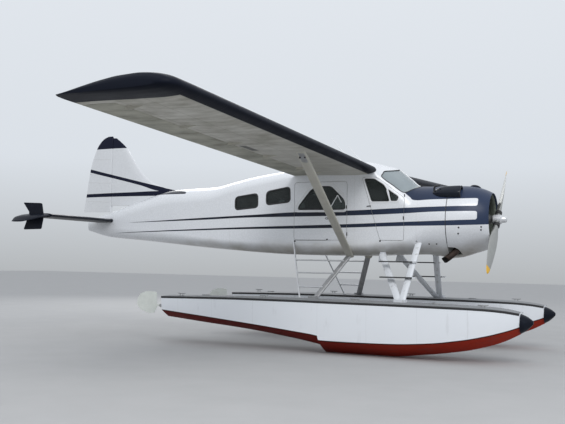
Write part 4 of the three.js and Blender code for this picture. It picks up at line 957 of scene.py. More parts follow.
rudder_te, rudder_r = faired(rudder_z, RUDDER_SECTIONS).T
turn = np.linspace(np.pi / 2, -np.pi / 2, 13)[None, :]
nose_x = RUDDER_HINGE_X + rudder_r[:, None] * np.cos(turn)
nose_y = rudder_r[:, None] * np.sin(turn)
edge = np.full((len(rudder_z), 1), 0.004)
rudder_rings = spread(np.hstack([nose_x, rudder_te[:, None], rudder_te[:, None]]),
                      np.hstack([nose_y, -edge, edge]), rudder_z[:, None])
put("rudder_skin", loft(rudder_rings), tail_paint.material, "rudder", ["rudder"], "white_paint")

# Tailplane and elevator: a flat navy plane through the tail cone with a round nose, a grey elevator on a tube
# behind it, end plates with swept tips outboard.
TAIL_LE, ELEVATOR_HINGE_X, ELEVATOR_TE, TAIL_END_Y = -3.970, -4.420, -4.770, 2.135
navy_gloss = grained("navy_enamel", (DEEP_NAVY, (0.022, 0.028, 0.042, 1)), (6.0, 5.0, 0.6), (0.2, 0.26), part=0.4,
                     edge=(0.60, 0.12), Specular_IOR_Level=0.12)


def round_nosed(x_nose, x_rear, half, steps=12):
    """Half a section: an ellipse quarter from the nose back over 0.15 m, then flat to the rear."""
    turn = np.linspace(0, np.pi / 2, steps)
    reach = 0.15
    return np.vstack([np.column_stack([x_nose - reach * (1 - np.cos(turn)), half * np.sin(turn)]), [(x_rear, half)]])


tail_half = round_nosed(TAIL_LE, ELEVATOR_HINGE_X + TAIL_HALF_THICK + 0.008, TAIL_HALF_THICK)
tail_ring = np.vstack([tail_half, tail_half[:0:-1] * (1, -1)]) + (0, TAIL_Z)
put("tailplane_skin", prism(tail_ring, -TAIL_END_Y, TAIL_END_Y), navy_gloss.material, replaces=["tailplane"],
    slot="navy_paint")
turn = np.linspace(np.pi / 2, -np.pi / 2, 15)
elevator_ring = np.vstack([
    np.column_stack([ELEVATOR_HINGE_X + TAIL_HALF_THICK * np.cos(turn), TAIL_Z + TAIL_HALF_THICK * np.sin(turn)]),
    [(ELEVATOR_TE, TAIL_Z - 0.005), (ELEVATOR_TE, TAIL_Z + 0.005)]])
turn = circle(24)
tube_ring = np.column_stack([ELEVATOR_HINGE_X + 0.022 * np.cos(turn), TAIL_Z + 0.022 * np.sin(turn)])
half_elevator = prism(elevator_ring, 0.175, TAIL_END_Y - 0.008)
put("elevator_skin", joined(half_elevator, on_side(half_elevator, -1), prism(tube_ring, -0.18, 0.18)),
    surface_paint.material, "elevator", ["elevator"], "control_surface")
FINLET = [(-4.170, 2.346), (-4.225, 2.602), (-4.683, 2.619), (-4.520, 2.420), (-4.657, 2.081), (-4.222, 2.091)]
# Tip columns: span y, leading edge x, trailing edge x, half thickness, droop
TAIL_TIP = np.array([(2.160, -3.985, -4.770, 0.034, 0.000), (2.290, -4.080, -4.775, 0.032, 0.040),
                     (2.415, -4.420, -4.740, 0.012, 0.125)])
tip_y = np.linspace(2.160, 2.415, 20)
tip_le, tip_te, tip_half, tip_droop = faired(tip_y, TAIL_TIP).T
turn = circle(32)[None, :]
tip_x = (tip_le + tip_te)[:, None] / 2 + (tip_le - tip_te)[:, None] / 2 * np.cos(turn)
tip_rings = spread(tip_x, tip_y[:, None], TAIL_Z - tip_droop[:, None] + tip_half[:, None] * np.sin(turn))
finlet_shape = joined(prism(rounded(FINLET, 0.03, 4), TAIL_END_Y + 0.001, TAIL_END_Y + 0.030), loft(tip_rings))
pair("end_plate", finlet_shape, navy_gloss.material, replaces="finlet", slot="navy_paint")

# Floats: long riveted hulls with a V bottom under hard chines, a step under the middle, bluish-white sides,
# a grey walking deck with a dark rubbing strip, and maroon anti-fouling paint below the chine.
# Columns: station x, keel z, chine z, gunwale z, chine half width, gunwale half width
FLOAT_REAR = np.array([
    (-1.700, 0.467, 0.603, 0.842, 0.265, 0.290), (-1.020, 0.404, 0.553, 0.858, 0.350, 0.372),
    (0.040, 0.311, 0.462, 0.874, 0.408, 0.428), (1.030, 0.187, 0.363, 0.875, 0.420, 0.440),
    (1.535, 0.100, 0.300, 0.872, 0.420, 0.440),
])
FLOAT_FRONT = np.array([
    (1.535, 0, 0.230, 0.872, 0.420, 0.440), (2.700, 0, 0.236, 0.868, 0.418, 0.438),
    (3.300, 0.062, 0.270, 0.864, 0.408, 0.430), (3.900, 0.155, 0.350, 0.858, 0.380, 0.405),
    (4.250, 0.240, 0.422, 0.850, 0.335, 0.362), (4.560, 0.350, 0.508, 0.828, 0.260, 0.290),
    (4.800, 0.475, 0.592, 0.790, 0.150, 0.180),
])
FLOAT_Y, KEEL_HALF, DECK_RISE = 1.370, 0.022, 0.026


def hull(table, step=0.05):
    """Hull over stations: each half section runs from the keel flat up a slightly hollow bottom to the chine,
    up a flared side to the gunwale and over a cambered deck; hollow and camber are parabolas."""
    x = stations(table[0, 0], table[-1, 0], step)
    keel, chine, gunwale, chine_half, gunwale_half = (column[:, None] for column in faired(x, table).T)
    t = np.linspace(0, 1, 9)[None, :]
    low_y = KEEL_HALF + (chine_half - KEEL_HALF) * t
    low_z = keel + (chine - keel) * (t - 0.22 * t * (1 - t))
    s = np.linspace(0, 1, 6)[None, 1:]
    side_y = chine_half + (gunwale_half - chine_half) * s + 0.006 * s * (1 - s) * 4
    side_z = chine + (gunwale - chine) * s
    d = np.linspace(0, 1, 9)[None, 1:-1]
    deck_y = gunwale_half * (1 - d)
    deck_z = gunwale + DECK_RISE * (1 - (1 - d) ** 3)
    y = np.hstack([low_y, side_y, deck_y])
    z = np.hstack([low_z, side_z, deck_z])
    y = np.hstack([y, 0 * keel, -y[:, ::-1]])
    z = np.hstack([z, gunwale + DECK_RISE, z[:, ::-1]])
    return loft(spread(x[:, None], y + FLOAT_Y, z))


CHINE_LINE = [(-1.75, 0.607), (-1.02, 0.553), (0.04, 0.462), (1.03, 0.363), (1.53, 0.300), (1.54, 0.230),
              (2.70, 0.236), (3.30, 0.270), (3.90, 0.350), (4.25, 0.422), (4.56, 0.508), (4.80, 0.592)]
FLOAT_FRAMES_X = (-1.30, -0.55, 0.30, 1.53, 2.40, 3.25, 4.05)
float_paint = Finish("float_enamel")
spot, (x, y, z) = float_paint.place()
chine_z = float_paint.over(x, CHINE_LINE)
maroon = 1 - float_paint.above(z, chine_z + 0.002, 0.002)
deck = float_paint.above(float_paint.upward(), 0.75, 0.1) * float_paint.above(z, 0.70)
drip = float_paint.noise(spot, 6.0, 5.0, 0.62, (1.0, 1.0, 0.22))
blotch = float_paint.noise(spot, 2.4, 4.0)
scrape = float_paint.noise(spot, 14.0, 5.0, 0.65, (0.35, 1.0, 1.0))
rust = float_paint.above(drip * 0.7 + blotch * 0.3, 0.62, 0.05) * 0.12
frames = sum(float_paint.between(x, place - 0.003, place + 0.003, 0.003)
             for place in FLOAT_FRAMES_X) * 0.18
side_colour = float_paint.mix(rust + frames, (0.84, 0.865, 0.90, 1), (0.36, 0.36, 0.36, 1))
deck_colour = float_paint.mix(scrape, (0.17, 0.175, 0.185, 1), (0.27, 0.28, 0.29, 1))
# The maroon runs darker towards the stern and brighter towards the bow.
bowward_share = float_paint.ramp(x, 0.2, 4.2, True)
hull_colour = float_paint.mix(bowward_share, (0.135, 0.012, 0.010, 1), (0.36, 0.030, 0.014, 1))
hull_colour = float_paint.mix(float_paint.above(scrape * 0.6 + blotch * 0.4, 0.56, 0.08) * 0.35, hull_colour,
                              (0.16, 0.060, 0.055, 1))
# Painted shadow: a near-black strip just under the chine, where the chine's edge casts its shade.
hull_colour = float_paint.mix(float_paint.between(z, chine_z - 0.016, chine_z + 0.002, 0.002) * 0.85, hull_colour,
                              (0.012, 0.010, 0.010, 1))
plates = float_paint.bump(blotch * 0.5 + drip * 0.2, 0.012, 0.2)
float_paint.done(Base_Color=float_paint.mix(deck, side_colour, deck_colour), Roughness=drip * 0.15 + deck * 0.25 + 0.30,
                 Normal=plates)
float_paint.layered(maroon, Base_Color=hull_colour, Roughness=scrape * 0.2 + 0.55,
                    Specular_IOR_Level=0.10, Normal=plates)
float_shape = joined(hull(FLOAT_REAR), hull(FLOAT_FRONT))
pair("float_hull", float_shape, float_paint.material, replaces="float", slot="float_paint", crease=np.radians(24))
strip_paths = []
for table in (FLOAT_REAR, FLOAT_FRONT):
    strip_x = stations(table[0, 0], table[-1, 0], 0.06)
    keel, chine, gunwale, chine_half, gunwale_half = faired(strip_x, table).T
    strip_paths += [np.stack([strip_x, FLOAT_Y + edge * gunwale_half, gunwale - 0.006], -1) for edge in (-1, 1)]
strips = [swept(path, half_round(0.038, 0.008), np.repeat([(0.0, np.sign(path[0, 1] - FLOAT_Y), 0.0)], len(path), 0),
                closed=False) for path in strip_paths]
pair("rub_strips", joined(*strips), rubber.material, slot="black_plastic")

# Bow bumpers: blocks of moulded rubber over the floats' tips, painted navy.
# Columns: station x, top z, bottom z, half width
BUMPER = np.array([(4.8004, 0.790, 0.480, 0.172), (4.880, 0.758, 0.528, 0.124), (4.950, 0.714, 0.590, 0.064),
                   (4.988, 0.680, 0.635, 0.022)])
nose_x = np.linspace(4.8004, 4.988, 16)
top, low, half = (column[:, None] for column in faired(nose_x, BUMPER).T)
turn = circle(40)[None, :]
bumper = loft(spread(nose_x[:, None], FLOAT_Y + half * np.cos(turn),
                     (top + low) / 2 + (top - low) / 2 * np.sin(turn)))
pair("bumper", bumper, navy_gloss.material, replaces="bow_bumper", slot="bumper_rubber")

# Float struts: streamlined tubes from the lower cabin corners to the float decks, a V in front with two step
# plates, a single one behind.
light_metal = grained("worn_light_metal", ((0.20, 0.195, 0.195, 1), (0.52, 0.53, 0.54, 1)), (11.0, 5.0, 0.6),
                      (0.25, 0.32), (0.001, 0.3), Metallic=0.5)
white_gloss = grained("white_strut_enamel", ((0.72, 0.74, 0.77, 1), (0.42, 0.42, 0.41, 1)), (12.0, 5.0, 0.62),
                      (0.2, 0.25), part=0.6, edge=(0.62, 0.06))
DECK_Z = 0.896
front_legs = (strut_shape((2.812, 1.290, DECK_Z - 0.05), (2.240, 0.520, 1.700), 0.118, 0.048),
              strut_shape((2.830, 1.290, DECK_Z - 0.05), (2.925, 0.520, 1.960), 0.118, 0.048))
front_foot = block((2.720, 1.230, DECK_Z - 0.05), (2.920, 1.350, DECK_Z + 0.045))
rear_leg = strut_shape((1.175, 1.180, DECK_Z - 0.05), (1.605, 0.526, 1.662), 0.105, 0.048)
rear_foot = block((1.110, 1.120, DECK_Z - 0.05), (1.260, 1.240, DECK_Z + 0.040))
step_places = ((1.560, 0.815, 2.290, 2.960), (1.290, 1.010, 2.370, 3.010))
step_ends = [block((x1 - 0.060, y - 0.045, z), (x1, y + 0.045, z + 0.022)) for z, y, x0, x1 in step_places]
treads = [block((x0, y - 0.045, z), (x1 - 0.061, y + 0.045, z + 0.022)) for z, y, x0, x1 in step_places]
gusset = prism(rounded([(2.160, 1.565), (2.350, 1.565), (2.305, 1.745), (2.205, 1.745)], 0.012), 0.518, 0.530)
grip = Finish("dark_grip_coating")
grip_grain = grip.noise(grip.place()[0], 120.0, 2.0)
grip.done(Base_Color=grip.mix(grip_grain, (0.020, 0.020, 0.022, 1), (0.075, 0.075, 0.075, 1)), Roughness=0.8,
          Normal=grip.bump(grip_grain, 0.002, 0.6))
pair("front_strut", joined(*front_legs, front_foot, gusset, *step_ends), white_gloss.material,
     replaces="front_float_strut", slot="white_paint")
pair("step_treads", joined(*treads), grip.material, slot="black_plastic")
pair("rear_strut", joined(rear_leg, rear_foot), light_metal.material, replaces="rear_float_strut", slot="strut_grey")

# Cowling: a spun ring of sheet metal with a rolled lip, open at the front and at the rear lower corner where
# the exhaust leaves, with green primer inside and a rubber seal against the nose.
THRUST_Z, PROPELLER_X = 2.345, 4.180
# Columns: station x, outer radius, how far the ring's centre lies below the thrust line
COWL = np.array([(3.410, 0.645, 0.043), (3.560, 0.637, 0.036), (3.700, 0.615, 0.019), (3.865, 0.575, 0.005),
                 (3.980, 0.537, 0.006), (4.060, 0.503, 0.008), (4.112, 0.472, 0.004)])
COWL_WALL, COWL_GAP = 0.022, 0.004


def turned(profile, steps=96, y=0.0, z=THRUST_Z, closed=False):
    """Profile of stations and radii turned round a fore-and-aft axis: (x, r cos t, r sin t)."""
    x, r = np.asarray(profile, float).T
    turn = circle(steps)[None, :]
    return loft(spread(x[:, None], y + r[:, None] * np.cos(turn), z + r[:, None] * np.sin(turn)), closed)


def cowl_radius(x):
    return faired(x, COWL)[:, 0]


def on_cowl(x, angle, out=0.0):
    """Points on the cowling at stations x and angles from straight up towards port, a distance off its skin."""
    x, angle = np.broadcast_arrays(np.asarray(x, float), angle)
    radius, drop = faired(x.ravel(), COWL).T.reshape(2, *x.shape)
    return np.stack([x, (radius + out) * np.sin(angle), THRUST_Z - drop + (radius + out) * np.cos(angle)], -1)


def hung(shape):
    """A shape turned about the thrust line, lowered at each station as much as the cowling's centre is."""
    points, faces = shape
    return points - np.outer(faired(points[:, 0], COWL)[:, 1], (0, 0, 1)), faces


outer_x = np.concatenate([np.linspace(3.410 + COWL_GAP, 3.86, 16), np.linspace(3.88, 4.112, 22)])
inner_x = np.concatenate([np.linspace(4.045, 3.95, 5), np.linspace(3.93, 3.410 + COWL_GAP, 16)])
inner_radius = np.where(inner_x > 3.96, 0.458 + (4.045 - inner_x) * 0.60, cowl_radius(inner_x) - COWL_WALL)
cowl_section = np.vstack([np.column_stack([outer_x, cowl_radius(outer_x)]), [(4.1165, 0.467), (4.1145, 0.462),
                          (4.108, 0.4595), (4.080, 0.458)], np.column_stack([inner_x, inner_radius])])
notch = prism(rounded([(3.30, 1.50), (3.618, 1.50), (3.618, 1.742), (3.590, 1.806), (3.532, 1.838),
                       (3.30, 1.842)], 0.03), -0.70, -0.19)
put("cowl_ring", carved(hung(turned(cowl_section, closed=True)), [notch]), fuselage_paint,
    replaces=["engine_cowling"], slot="white_paint_steel")
liner_x = np.concatenate([[4.082], inner_x])
liner_radius = np.concatenate([[0.4576], inner_radius])
liner_section = np.vstack([np.column_stack([liner_x, liner_radius - 0.0004]),
                           np.column_stack([liner_x[::-1], liner_radius[::-1] - 0.0020])])
primer = grained("grey_green_primer", ((0.36, 0.40, 0.34, 1), (0.18, 0.20, 0.17, 1)), (9.0, 5.0, 0.6), (0.2, 0.5))
put("cowl_liner", carved(hung(turned(liner_section, closed=True)), [notch]), primer.material, slot="engine")
seal_turn = np.radians(np.linspace(-128, 212, 120))
seal_path = on_cowl(3.4125, seal_turn)
seal_out = np.column_stack([0 * seal_turn, np.sin(seal_turn), np.cos(seal_turn)])
put("cowl_seal", swept(seal_path, half_round(0.012, 0.003), seal_out, closed=False),
    rubber.material, slot="black_plastic")

# Engine: nine air-cooled cylinders with thin cooling fins round a crankcase, with push-rod tubes and a domed
# reduction-gear nose in front.
engine_metal = grained("engine_grey_metal", ((0.035, 0.036, 0.038, 1), (0.16, 0.16, 0.155, 1)), (14.0, 5.0, 0.6),
                       (0.3, 0.40), (0.002, 0.4), Metallic=0.6)
ENGINE_X, CYLINDERS = 3.680, 9
fin_radii = np.linspace(0.255, 0.492, 21)
fin_profile = np.array([(0.0, 0.180), (0.070, 0.185), (0.070, 0.250)] + [
    point for r in fin_radii
    for point in ((0.070, r - 0.0035), (0.092, r - 0.0015), (0.092, r + 0.0015), (0.070, r + 0.0035))
] + [(0.070, 0.500), (0.066, 0.520), (0.058, 0.536), (0.030, 0.545), (0.0, 0.545)])
cylinder_turn = circle(26)[None, :]
fin_radius, fin_height = fin_profile[1:-1, :1], fin_profile[1:-1, 1:]
cylinder_points, cylinder_faces = loft(spread(fin_radius * np.cos(cylinder_turn), fin_radius * np.sin(cylinder_turn),
                                              fin_height))


def about_thrust(points, angle, x=0.0):
    """Points turned about the thrust line and set at a station."""
    px, py, pz = points.T
    return np.stack([px + x, py * np.cos(angle) - pz * np.sin(angle),
                     THRUST_Z + py * np.sin(angle) + pz * np.cos(angle)], -1)


def pipe_rings(path, radius, sides):
    """Rings of a round tube square to its path: centre + radius (across cos t + up sin t)."""
    ahead = unit(np.gradient(np.asarray(path, float), axis=0))
    guide = np.array([0, 0, 1.0]) if abs(ahead[:, 2]).max() < 0.95 else np.array([1.0, 0.1, 0])
    across = unit(np.cross(ahead, guide))
    up = np.cross(across, ahead)
    turn = circle(sides)[None, :, None]
    radius = np.broadcast_to(np.asarray(radius, float), len(path))[:, None, None]
    return path[:, None] + radius * (across[:, None] * np.cos(turn) + up[:, None] * np.sin(turn))


def pipe(path, radius, sides):
    """Solid round bar along a path of points."""
    return loft(pipe_rings(path, radius, sides))


crankcase = turned([(3.425, 0.01), (3.425, 0.300), (3.520, 0.300), (3.540, 0.250), (3.800, 0.250), (3.815, 0.238),
                    (3.830, 0.200), (3.880, 0.184), (3.960, 0.150), (4.000, 0.122), (4.030, 0.095), (4.060, 0.080),
                    (4.074, 0.075), (4.086, 0.010)], 48)
push_rods = []
for i in range(CYLINDERS):
    angle = 2 * np.pi * i / CYLINDERS
    for lean in (-0.075, 0.075):
        path = np.array([(0.150, lean * 0.8, 0.225), (0.110, lean, 0.40), (0.075, lean * 1.1, 0.522)])
        push_rods.append(pipe(about_thrust(path, angle, ENGINE_X), 0.011, 8))
engine_shape = joined(crankcase, *((about_thrust(cylinder_points, 2 * np.pi * i / CYLINDERS, ENGINE_X), cylinder_faces)
                                   for i in range(CYLINDERS)), *push_rods)
put("engine_block", engine_shape, engine_metal.material, replaces=["radial_engine"], slot="engine")

# Propeller: two twisted metal blades with yellow tips on a bright hub, with a black clamp round each root.
# Columns: radius, chord, thickness, blade angle in degrees
BLADE = np.array([
    (0.030, 0.090, 0.090, 40), (0.240, 0.105, 0.080, 40), (0.400, 0.165, 0.052, 36), (0.650, 0.200, 0.034, 30),
    (0.900, 0.182, 0.024, 25), (1.120, 0.138, 0.017, 21), (1.240, 0.092, 0.012, 19), (1.295, 0.040, 0.008, 18),
])
PROPELLER_REST, TIP_PAINT = np.radians(43.6), 1.16
BLADE_ANGLES = (-PROPELLER_REST, np.pi - PROPELLER_REST)
blade_metal = Finish("blade_metal_yellow_tips")
spot, (x, y, z) = blade_metal.place()
height = z - THRUST_Z
reach = (y * y + height * height).math("SQRT")
tip = blade_metal.above(reach, TIP_PAINT, 0.004)
scratch = blade_metal.noise(spot, 16.0, 5.0, 0.65)
bare = blade_metal.mix(scratch, (0.30, 0.305, 0.295, 1), (0.44, 0.445, 0.43, 1))
blade_metal.done(Base_Color=blade_metal.mix(tip, bare, (0.75, 0.42, 0.01, 1)),
                 Metallic=(1 - tip) * 0.7, Roughness=scratch * 0.2 + 0.34)
blade_r = np.concatenate([np.linspace(0.03, 1.2, 40), 1.2 + 0.095 * np.sin(np.linspace(0.08, np.pi / 2, 10))])
blade_chord, blade_thick, blade_angle = (column[:, None] for column in faired(blade_r, BLADE).T)
turn = circle(30)[None, :]
u = blade_chord / 2 * np.cos(turn)
v = blade_thick / 2 * np.sin(turn) * (1 + 0.25 * np.cos(turn))
tilt = np.radians(blade_angle)
blade_points, blade_faces = loft(spread(v * np.cos(tilt) - u * np.sin(tilt), u * np.cos(tilt) + v * np.sin(tilt),
                                        blade_r[:, None]))
hub = turned([(PROPELLER_X + ahead, r) for ahead, r in (
    (-0.082, 0.01), (-0.082, 0.068), (-0.060, 0.085), (0.060, 0.085), (0.080, 0.062), (0.090, 0.058), (0.145, 0.055),
    (0.158, 0.047), (0.165, 0.036), (0.165, 0.01))], 48)
hub_metal = grained("bright_hub_metal", ((0.80, 0.81, 0.83, 1), (0.62, 0.63, 0.64, 1)), (26.0, 4.0), (0.2, 0.22),
                    Metallic=0.5)
put("propeller_hub", hub, hub_metal.material, "propeller", slot="propeller")
clamp_path = np.array([(0, 0, 0.118), (0, 0, 0.150), (0, 0, 0.182)])
put("root_clamps", joined(*(pipe(about_thrust(clamp_path, angle, PROPELLER_X), 0.060, 28) for angle in BLADE_ANGLES)),
    rubber.material, "propeller", slot="propeller")
put("propeller_blades", joined(*((about_thrust(blade_points, angle, PROPELLER_X), blade_faces)
                                 for angle in BLADE_ANGLES)),
    blade_metal.material, "propeller", ["propeller"], "propeller")

# Exhaust: a short curved stub of stainless tube, browned by heat and sooty inside, that comes out of the cowling's
# lower corner behind two clamps, flares a little and is cut off at a slant.
def along(points, count):
    """Points spaced along a smooth curve through a few given ones, faired over their number."""
    points = np.asarray(points, float)
    return faired(np.linspace(0, len(points) - 1, count), np.column_stack([np.arange(len(points)), points]))


def tube(path, outer, inner, sides=28):
    """Open tube with a wall: its outer rings from end to end, then its inner ones back, closed into a loop."""
    return loft(np.vstack([pipe_rings(path, outer, sides), pipe_rings(path, inner, sides)[::-1]]), closed=True)


def rod(start, end, radius, sides=16, edge=0.002):
    """Round bar between two points with its ends chamfered by an edge."""
    start, end = np.array(start, float), np.array(end, float)
    ahead = (end - start) / np.linalg.norm(end - start)
    path = np.stack([start, start + ahead * edge, end - ahead * edge, end])
    return pipe(path, [radius - edge, radius, radius, radius - edge], sides)


heat_steel = Finish("heat_browned_steel")
spot, (x, y, z) = heat_steel.place()
flake = heat_steel.noise(spot, 22.0, 6.0, 0.65)
cloud = heat_steel.noise(spot, 5.0, 3.0)
heat_steel.done(Base_Color=heat_steel.mix(heat_steel.above(flake * 0.6 + cloud * 0.4, 0.50, 0.10),
                                          (0.014, 0.009, 0.007, 1), (0.045, 0.026, 0.019, 1)),
                Roughness=flake * 0.3 + 0.45, Metallic=0.35, Normal=heat_steel.bump(flake, 0.003, 0.5))
soot_black = Finish("exhaust_soot")
soot_grain = soot_black.noise(soot_black.place()[0], 60.0)
soot_black.done(Base_Color=soot_black.mix(soot_grain, (0.006, 0.005, 0.005, 1), (0.02, 0.018, 0.016, 1)), Roughness=0.9)
exhaust_path = along([(3.590, -0.270, 1.845), (3.520, -0.320, 1.768), (3.430, -0.360, 1.680),
                      (3.318, -0.384, 1.596)], 22)
STUB_RADIUS, STUB_FLARE, STUB_WALL, SOOT_GAP, SOOT_INSIDE = 0.056, 0.006, 0.005, 0.0052, 0.0075
lip = STUB_RADIUS + STUB_FLARE * np.clip((np.arange(22) - 18) / 3, 0, 1)
stub = tube(exhaust_path, lip, lip - STUB_WALL)
clamps = [tube(exhaust_path[i:i + 3], 0.0610, 0.0555) for i in (5, 7)]
slash = np.array((-0.35, -0.75, -0.55)) / np.linalg.norm((-0.35, -0.75, -0.55))
last_run = exhaust_path[-1] - exhaust_path[-2]
mouth = exhaust_path[-1] - 0.042 * last_run / np.linalg.norm(last_run)
slash_cut = rod(mouth, mouth + slash * 0.4, 0.25, 32)
clamp_bolt = rod(exhaust_path[7] + (0, -0.058, 0.022), exhaust_path[7] + (0, -0.074, 0.006), 0.007)
put("exhaust_stub", joined(carved(stub, [slash_cut]), *clamps, clamp_bolt),
    heat_steel.material, replaces=["exhaust_pipe"], slot="rusty_steel")
put("exhaust_lining", carved(tube(exhaust_path[1:], lip[1:] - SOOT_GAP, lip[1:] - SOOT_INSIDE), [slash_cut]),
    soot_black.material, slot="rusty_steel")

# Air scoop: a glossy moulded intake on the cowling's starboard shoulder, open in front with a black rubber lip,
# fairing away into the nose behind.
# Columns: station x, half width, height of its foot and of its crown above the thrust line
SCOOP = np.array([(3.140, 0.060, 0.530, 0.640), (3.270, 0.118, 0.530, 0.694), (3.420, 0.132, 0.530, 0.710),
                  (3.600, 0.136, 0.530, 0.714), (3.640, 0.128, 0.530, 0.704)])
SCOOP_TURN, SCOOP_SIDE = np.radians(42), 0.62


def scoop_rings(x, thinner):
    """Half rounded boxes (w cos|cos|^(p-1), low + (high - low) sin|sin|^(p-1)), p below 1 for squarer shoulders,
    then turned about the thrust line."""
    half, low, high = (column[:, None] for column in faired(x, SCOOP).T)
    turn = np.linspace(0, np.pi, 37)[None, :]
    across = (half - thinner) * np.sign(np.cos(turn)) * np.abs(np.cos(turn)) ** SCOOP_SIDE
    up = low + (high - thinner - low) * np.abs(np.sin(turn)) ** SCOOP_SIDE
    return spread(x[:, None], across * np.cos(SCOOP_TURN) - up * np.sin(SCOOP_TURN),
                  THRUST_Z + across * np.sin(SCOOP_TURN) + up * np.cos(SCOOP_TURN))


scoop_x = np.concatenate([3.140 + 0.13 * np.linspace(0, 1, 10) ** 1.5, np.linspace(3.29, 3.640, 14)])
scoop_skin = loft(np.concatenate([scoop_rings(scoop_x, 0.0), scoop_rings(np.linspace(3.6401, 3.36, 10), 0.012)]))
core_x = np.linspace(3.405, 3.86, 24)
cowl_core = hung(turned([(3.405, 0.001), *zip(core_x, cowl_radius(core_x) + 0.0006), (3.86, 0.001)]))
nose_core = loft(section_rings(stations(2.92, 3.409, 0.03), 0.0006))
scoop_gloss = grained("scoop_gloss_navy", ((0.006, 0.009, 0.017, 1), (0.012, 0.015, 0.024, 1)), (18.0, 5.0, 0.6),
                      (0.2, 0.14), part=0.3, Specular_IOR_Level=0.25)
put("scoop_shell", carved(scoop_skin, [cowl_core, nose_core]), scoop_gloss.material,
    replaces=["air_scoop"], slot="black_plastic")
lip_ring = scoop_rings(np.array([3.636, 3.6395]), -0.0005)[1][3:-3]
ahead_x = np.repeat([(1.0, 0.0, 0.0)], len(lip_ring), 0)
put("scoop_lip", swept(lip_ring, half_round(0.016, 0.0045, 0.006), ahead_x, closed=False),
    rubber.material, slot="black_plastic")
drain = along([(3.175, -0.440, 2.790), (3.165, -0.450, 2.870), (3.190, -0.455, 2.912), (3.262, -0.455, 2.922)], 16)
put("scoop_breather", tube(drain, 0.017, 0.012, 18), rubber.material, slot="black_plastic")

# Boarding ladders: an aluminium tube from each float's deck up to the cabin floor's edge, and three rungs that
# run forward to the rear float strut, held by clamps.
# Columns: rung height, tube x and y, strut x and y
RUNGS = np.array([(1.575, 0.663, 0.806, 1.547, 0.611), (1.345, 0.742, 0.914, 1.427, 0.793),
                  (1.095, 0.829, 1.030, 1.297, 0.991)])
ladder_parts = [rod((0.540, 0.640, 1.930), (0.905, 1.132, 0.880), 0.0150, 18),
                rod((0.905, 1.132, 0.880), (0.905, 1.132, 0.908), 0.034, 20)]
for rung_z, tube_x, tube_y, strut_x, strut_y in RUNGS:
    start, end = np.array((tube_x, tube_y, rung_z)), np.array((strut_x, strut_y, rung_z))
    reach = (end - start) / np.linalg.norm(end - start)
    ladder_parts += [rod(start, end, 0.0125), rod(start - reach * 0.004, start + reach * 0.040, 0.0165),
                     rod(end - reach * 0.045, end - reach * 0.004, 0.0165)]
pair("ladder", joined(*ladder_parts), hub_metal.material, replaces="boarding_ladder", slot="bare_metal")

# Spreader bars: two streamlined aluminium tubes that hold the floats apart, each end in a riveted collar.
SPREADER_Z = 0.770
for name, bar_x in (("front", 2.800), ("rear", 1.190)):
    bar = strut_shape((bar_x, -1.0, SPREADER_Z), (bar_x, 1.0, SPREADER_Z), 0.090, 0.060)
    collar = strut_shape((bar_x, 0.870, SPREADER_Z), (bar_x, 0.960, SPREADER_Z), 0.102, 0.070)
    put(f"spreader_tube_{name}", joined(bar, collar, on_side(collar, -1)), light_metal.material,
        replaces=[f"spreader_bar_{name}"], slot="bare_metal")

# Water rudders: pale painted plates that hang in a fork on a steering post behind each float, lifted clear when
# parked, with a pressed rim and a hinge bolt.
POST_X, FORK_HALF, PLATE_HALF = -1.790, 0.012, 0.0042
FORK = rounded([(-1.790, 0.625), (-1.790, 0.695), (-1.905, 0.690), (-1.935, 0.660), (-1.905, 0.630)], 0.012)
BLADE_PLATE = rounded([(-1.870, 0.645), (-1.870, 0.675), (-1.985, 0.690), (-1.998, 0.912), (-2.100, 0.922),
                       (-2.225, 0.924), (-2.370, 0.875), (-2.440, 0.770), (-2.445, 0.660), (-2.376, 0.571),
                       (-2.164, 0.503), (-2.045, 0.512), (-1.998, 0.600), (-1.985, 0.640)], 0.02)
post_shape = joined(rod((POST_X, FLOAT_Y, 0.560), (POST_X, FLOAT_Y, 0.760), 0.018, 24),
                    block((POST_X - 0.060, FLOAT_Y - 0.020, 0.627), (POST_X, FLOAT_Y + 0.020, 0.693)),
                    prism(FORK, FLOAT_Y + FORK_HALF, FLOAT_Y + FORK_HALF + 0.008),
                    prism(FORK, FLOAT_Y - FORK_HALF - 0.008, FLOAT_Y - FORK_HALF),
                    rod((-1.905, FLOAT_Y - 0.026, 0.660), (-1.905, FLOAT_Y + 0.026, 0.660), 0.011))
rim_x, rim_z = along_outline(grown(BLADE_PLATE, -0.022), 0.02).T
rims = [swept(np.stack([rim_x, FLOAT_Y + face * PLATE_HALF + 0 * rim_x, rim_z], -1), half_round(0.010, 0.0014, 0.002),
              np.repeat([(0.0, face, 0.0)], len(rim_x), 0)) for face in (-1.0, 1.0)]
ribs = [rod((-2.385, FLOAT_Y, 0.735 + rise), (-2.000, FLOAT_Y, 0.690 + rise), 0.0058) for rise in (-0.075, 0.035)]
blade_paint = grained("grey_green_plate_paint", ((0.82, 0.85, 0.80, 1), (0.60, 0.62, 0.575, 1)), (7.0, 5.0, 0.6),
                      (0.2, 0.4), (0.003, 0.3))
plate = joined(prism(BLADE_PLATE, FLOAT_Y - PLATE_HALF, FLOAT_Y + PLATE_HALF), *rims, *ribs)
pair("rudder_post", post_shape, light_metal.material, "water_rudder_post", "water_rudder_post", slot="bare_metal")
pair("rudder_plate", plate, blade_paint.material, "water_rudder_blade", "water_rudder_blade", slot="white_paint")

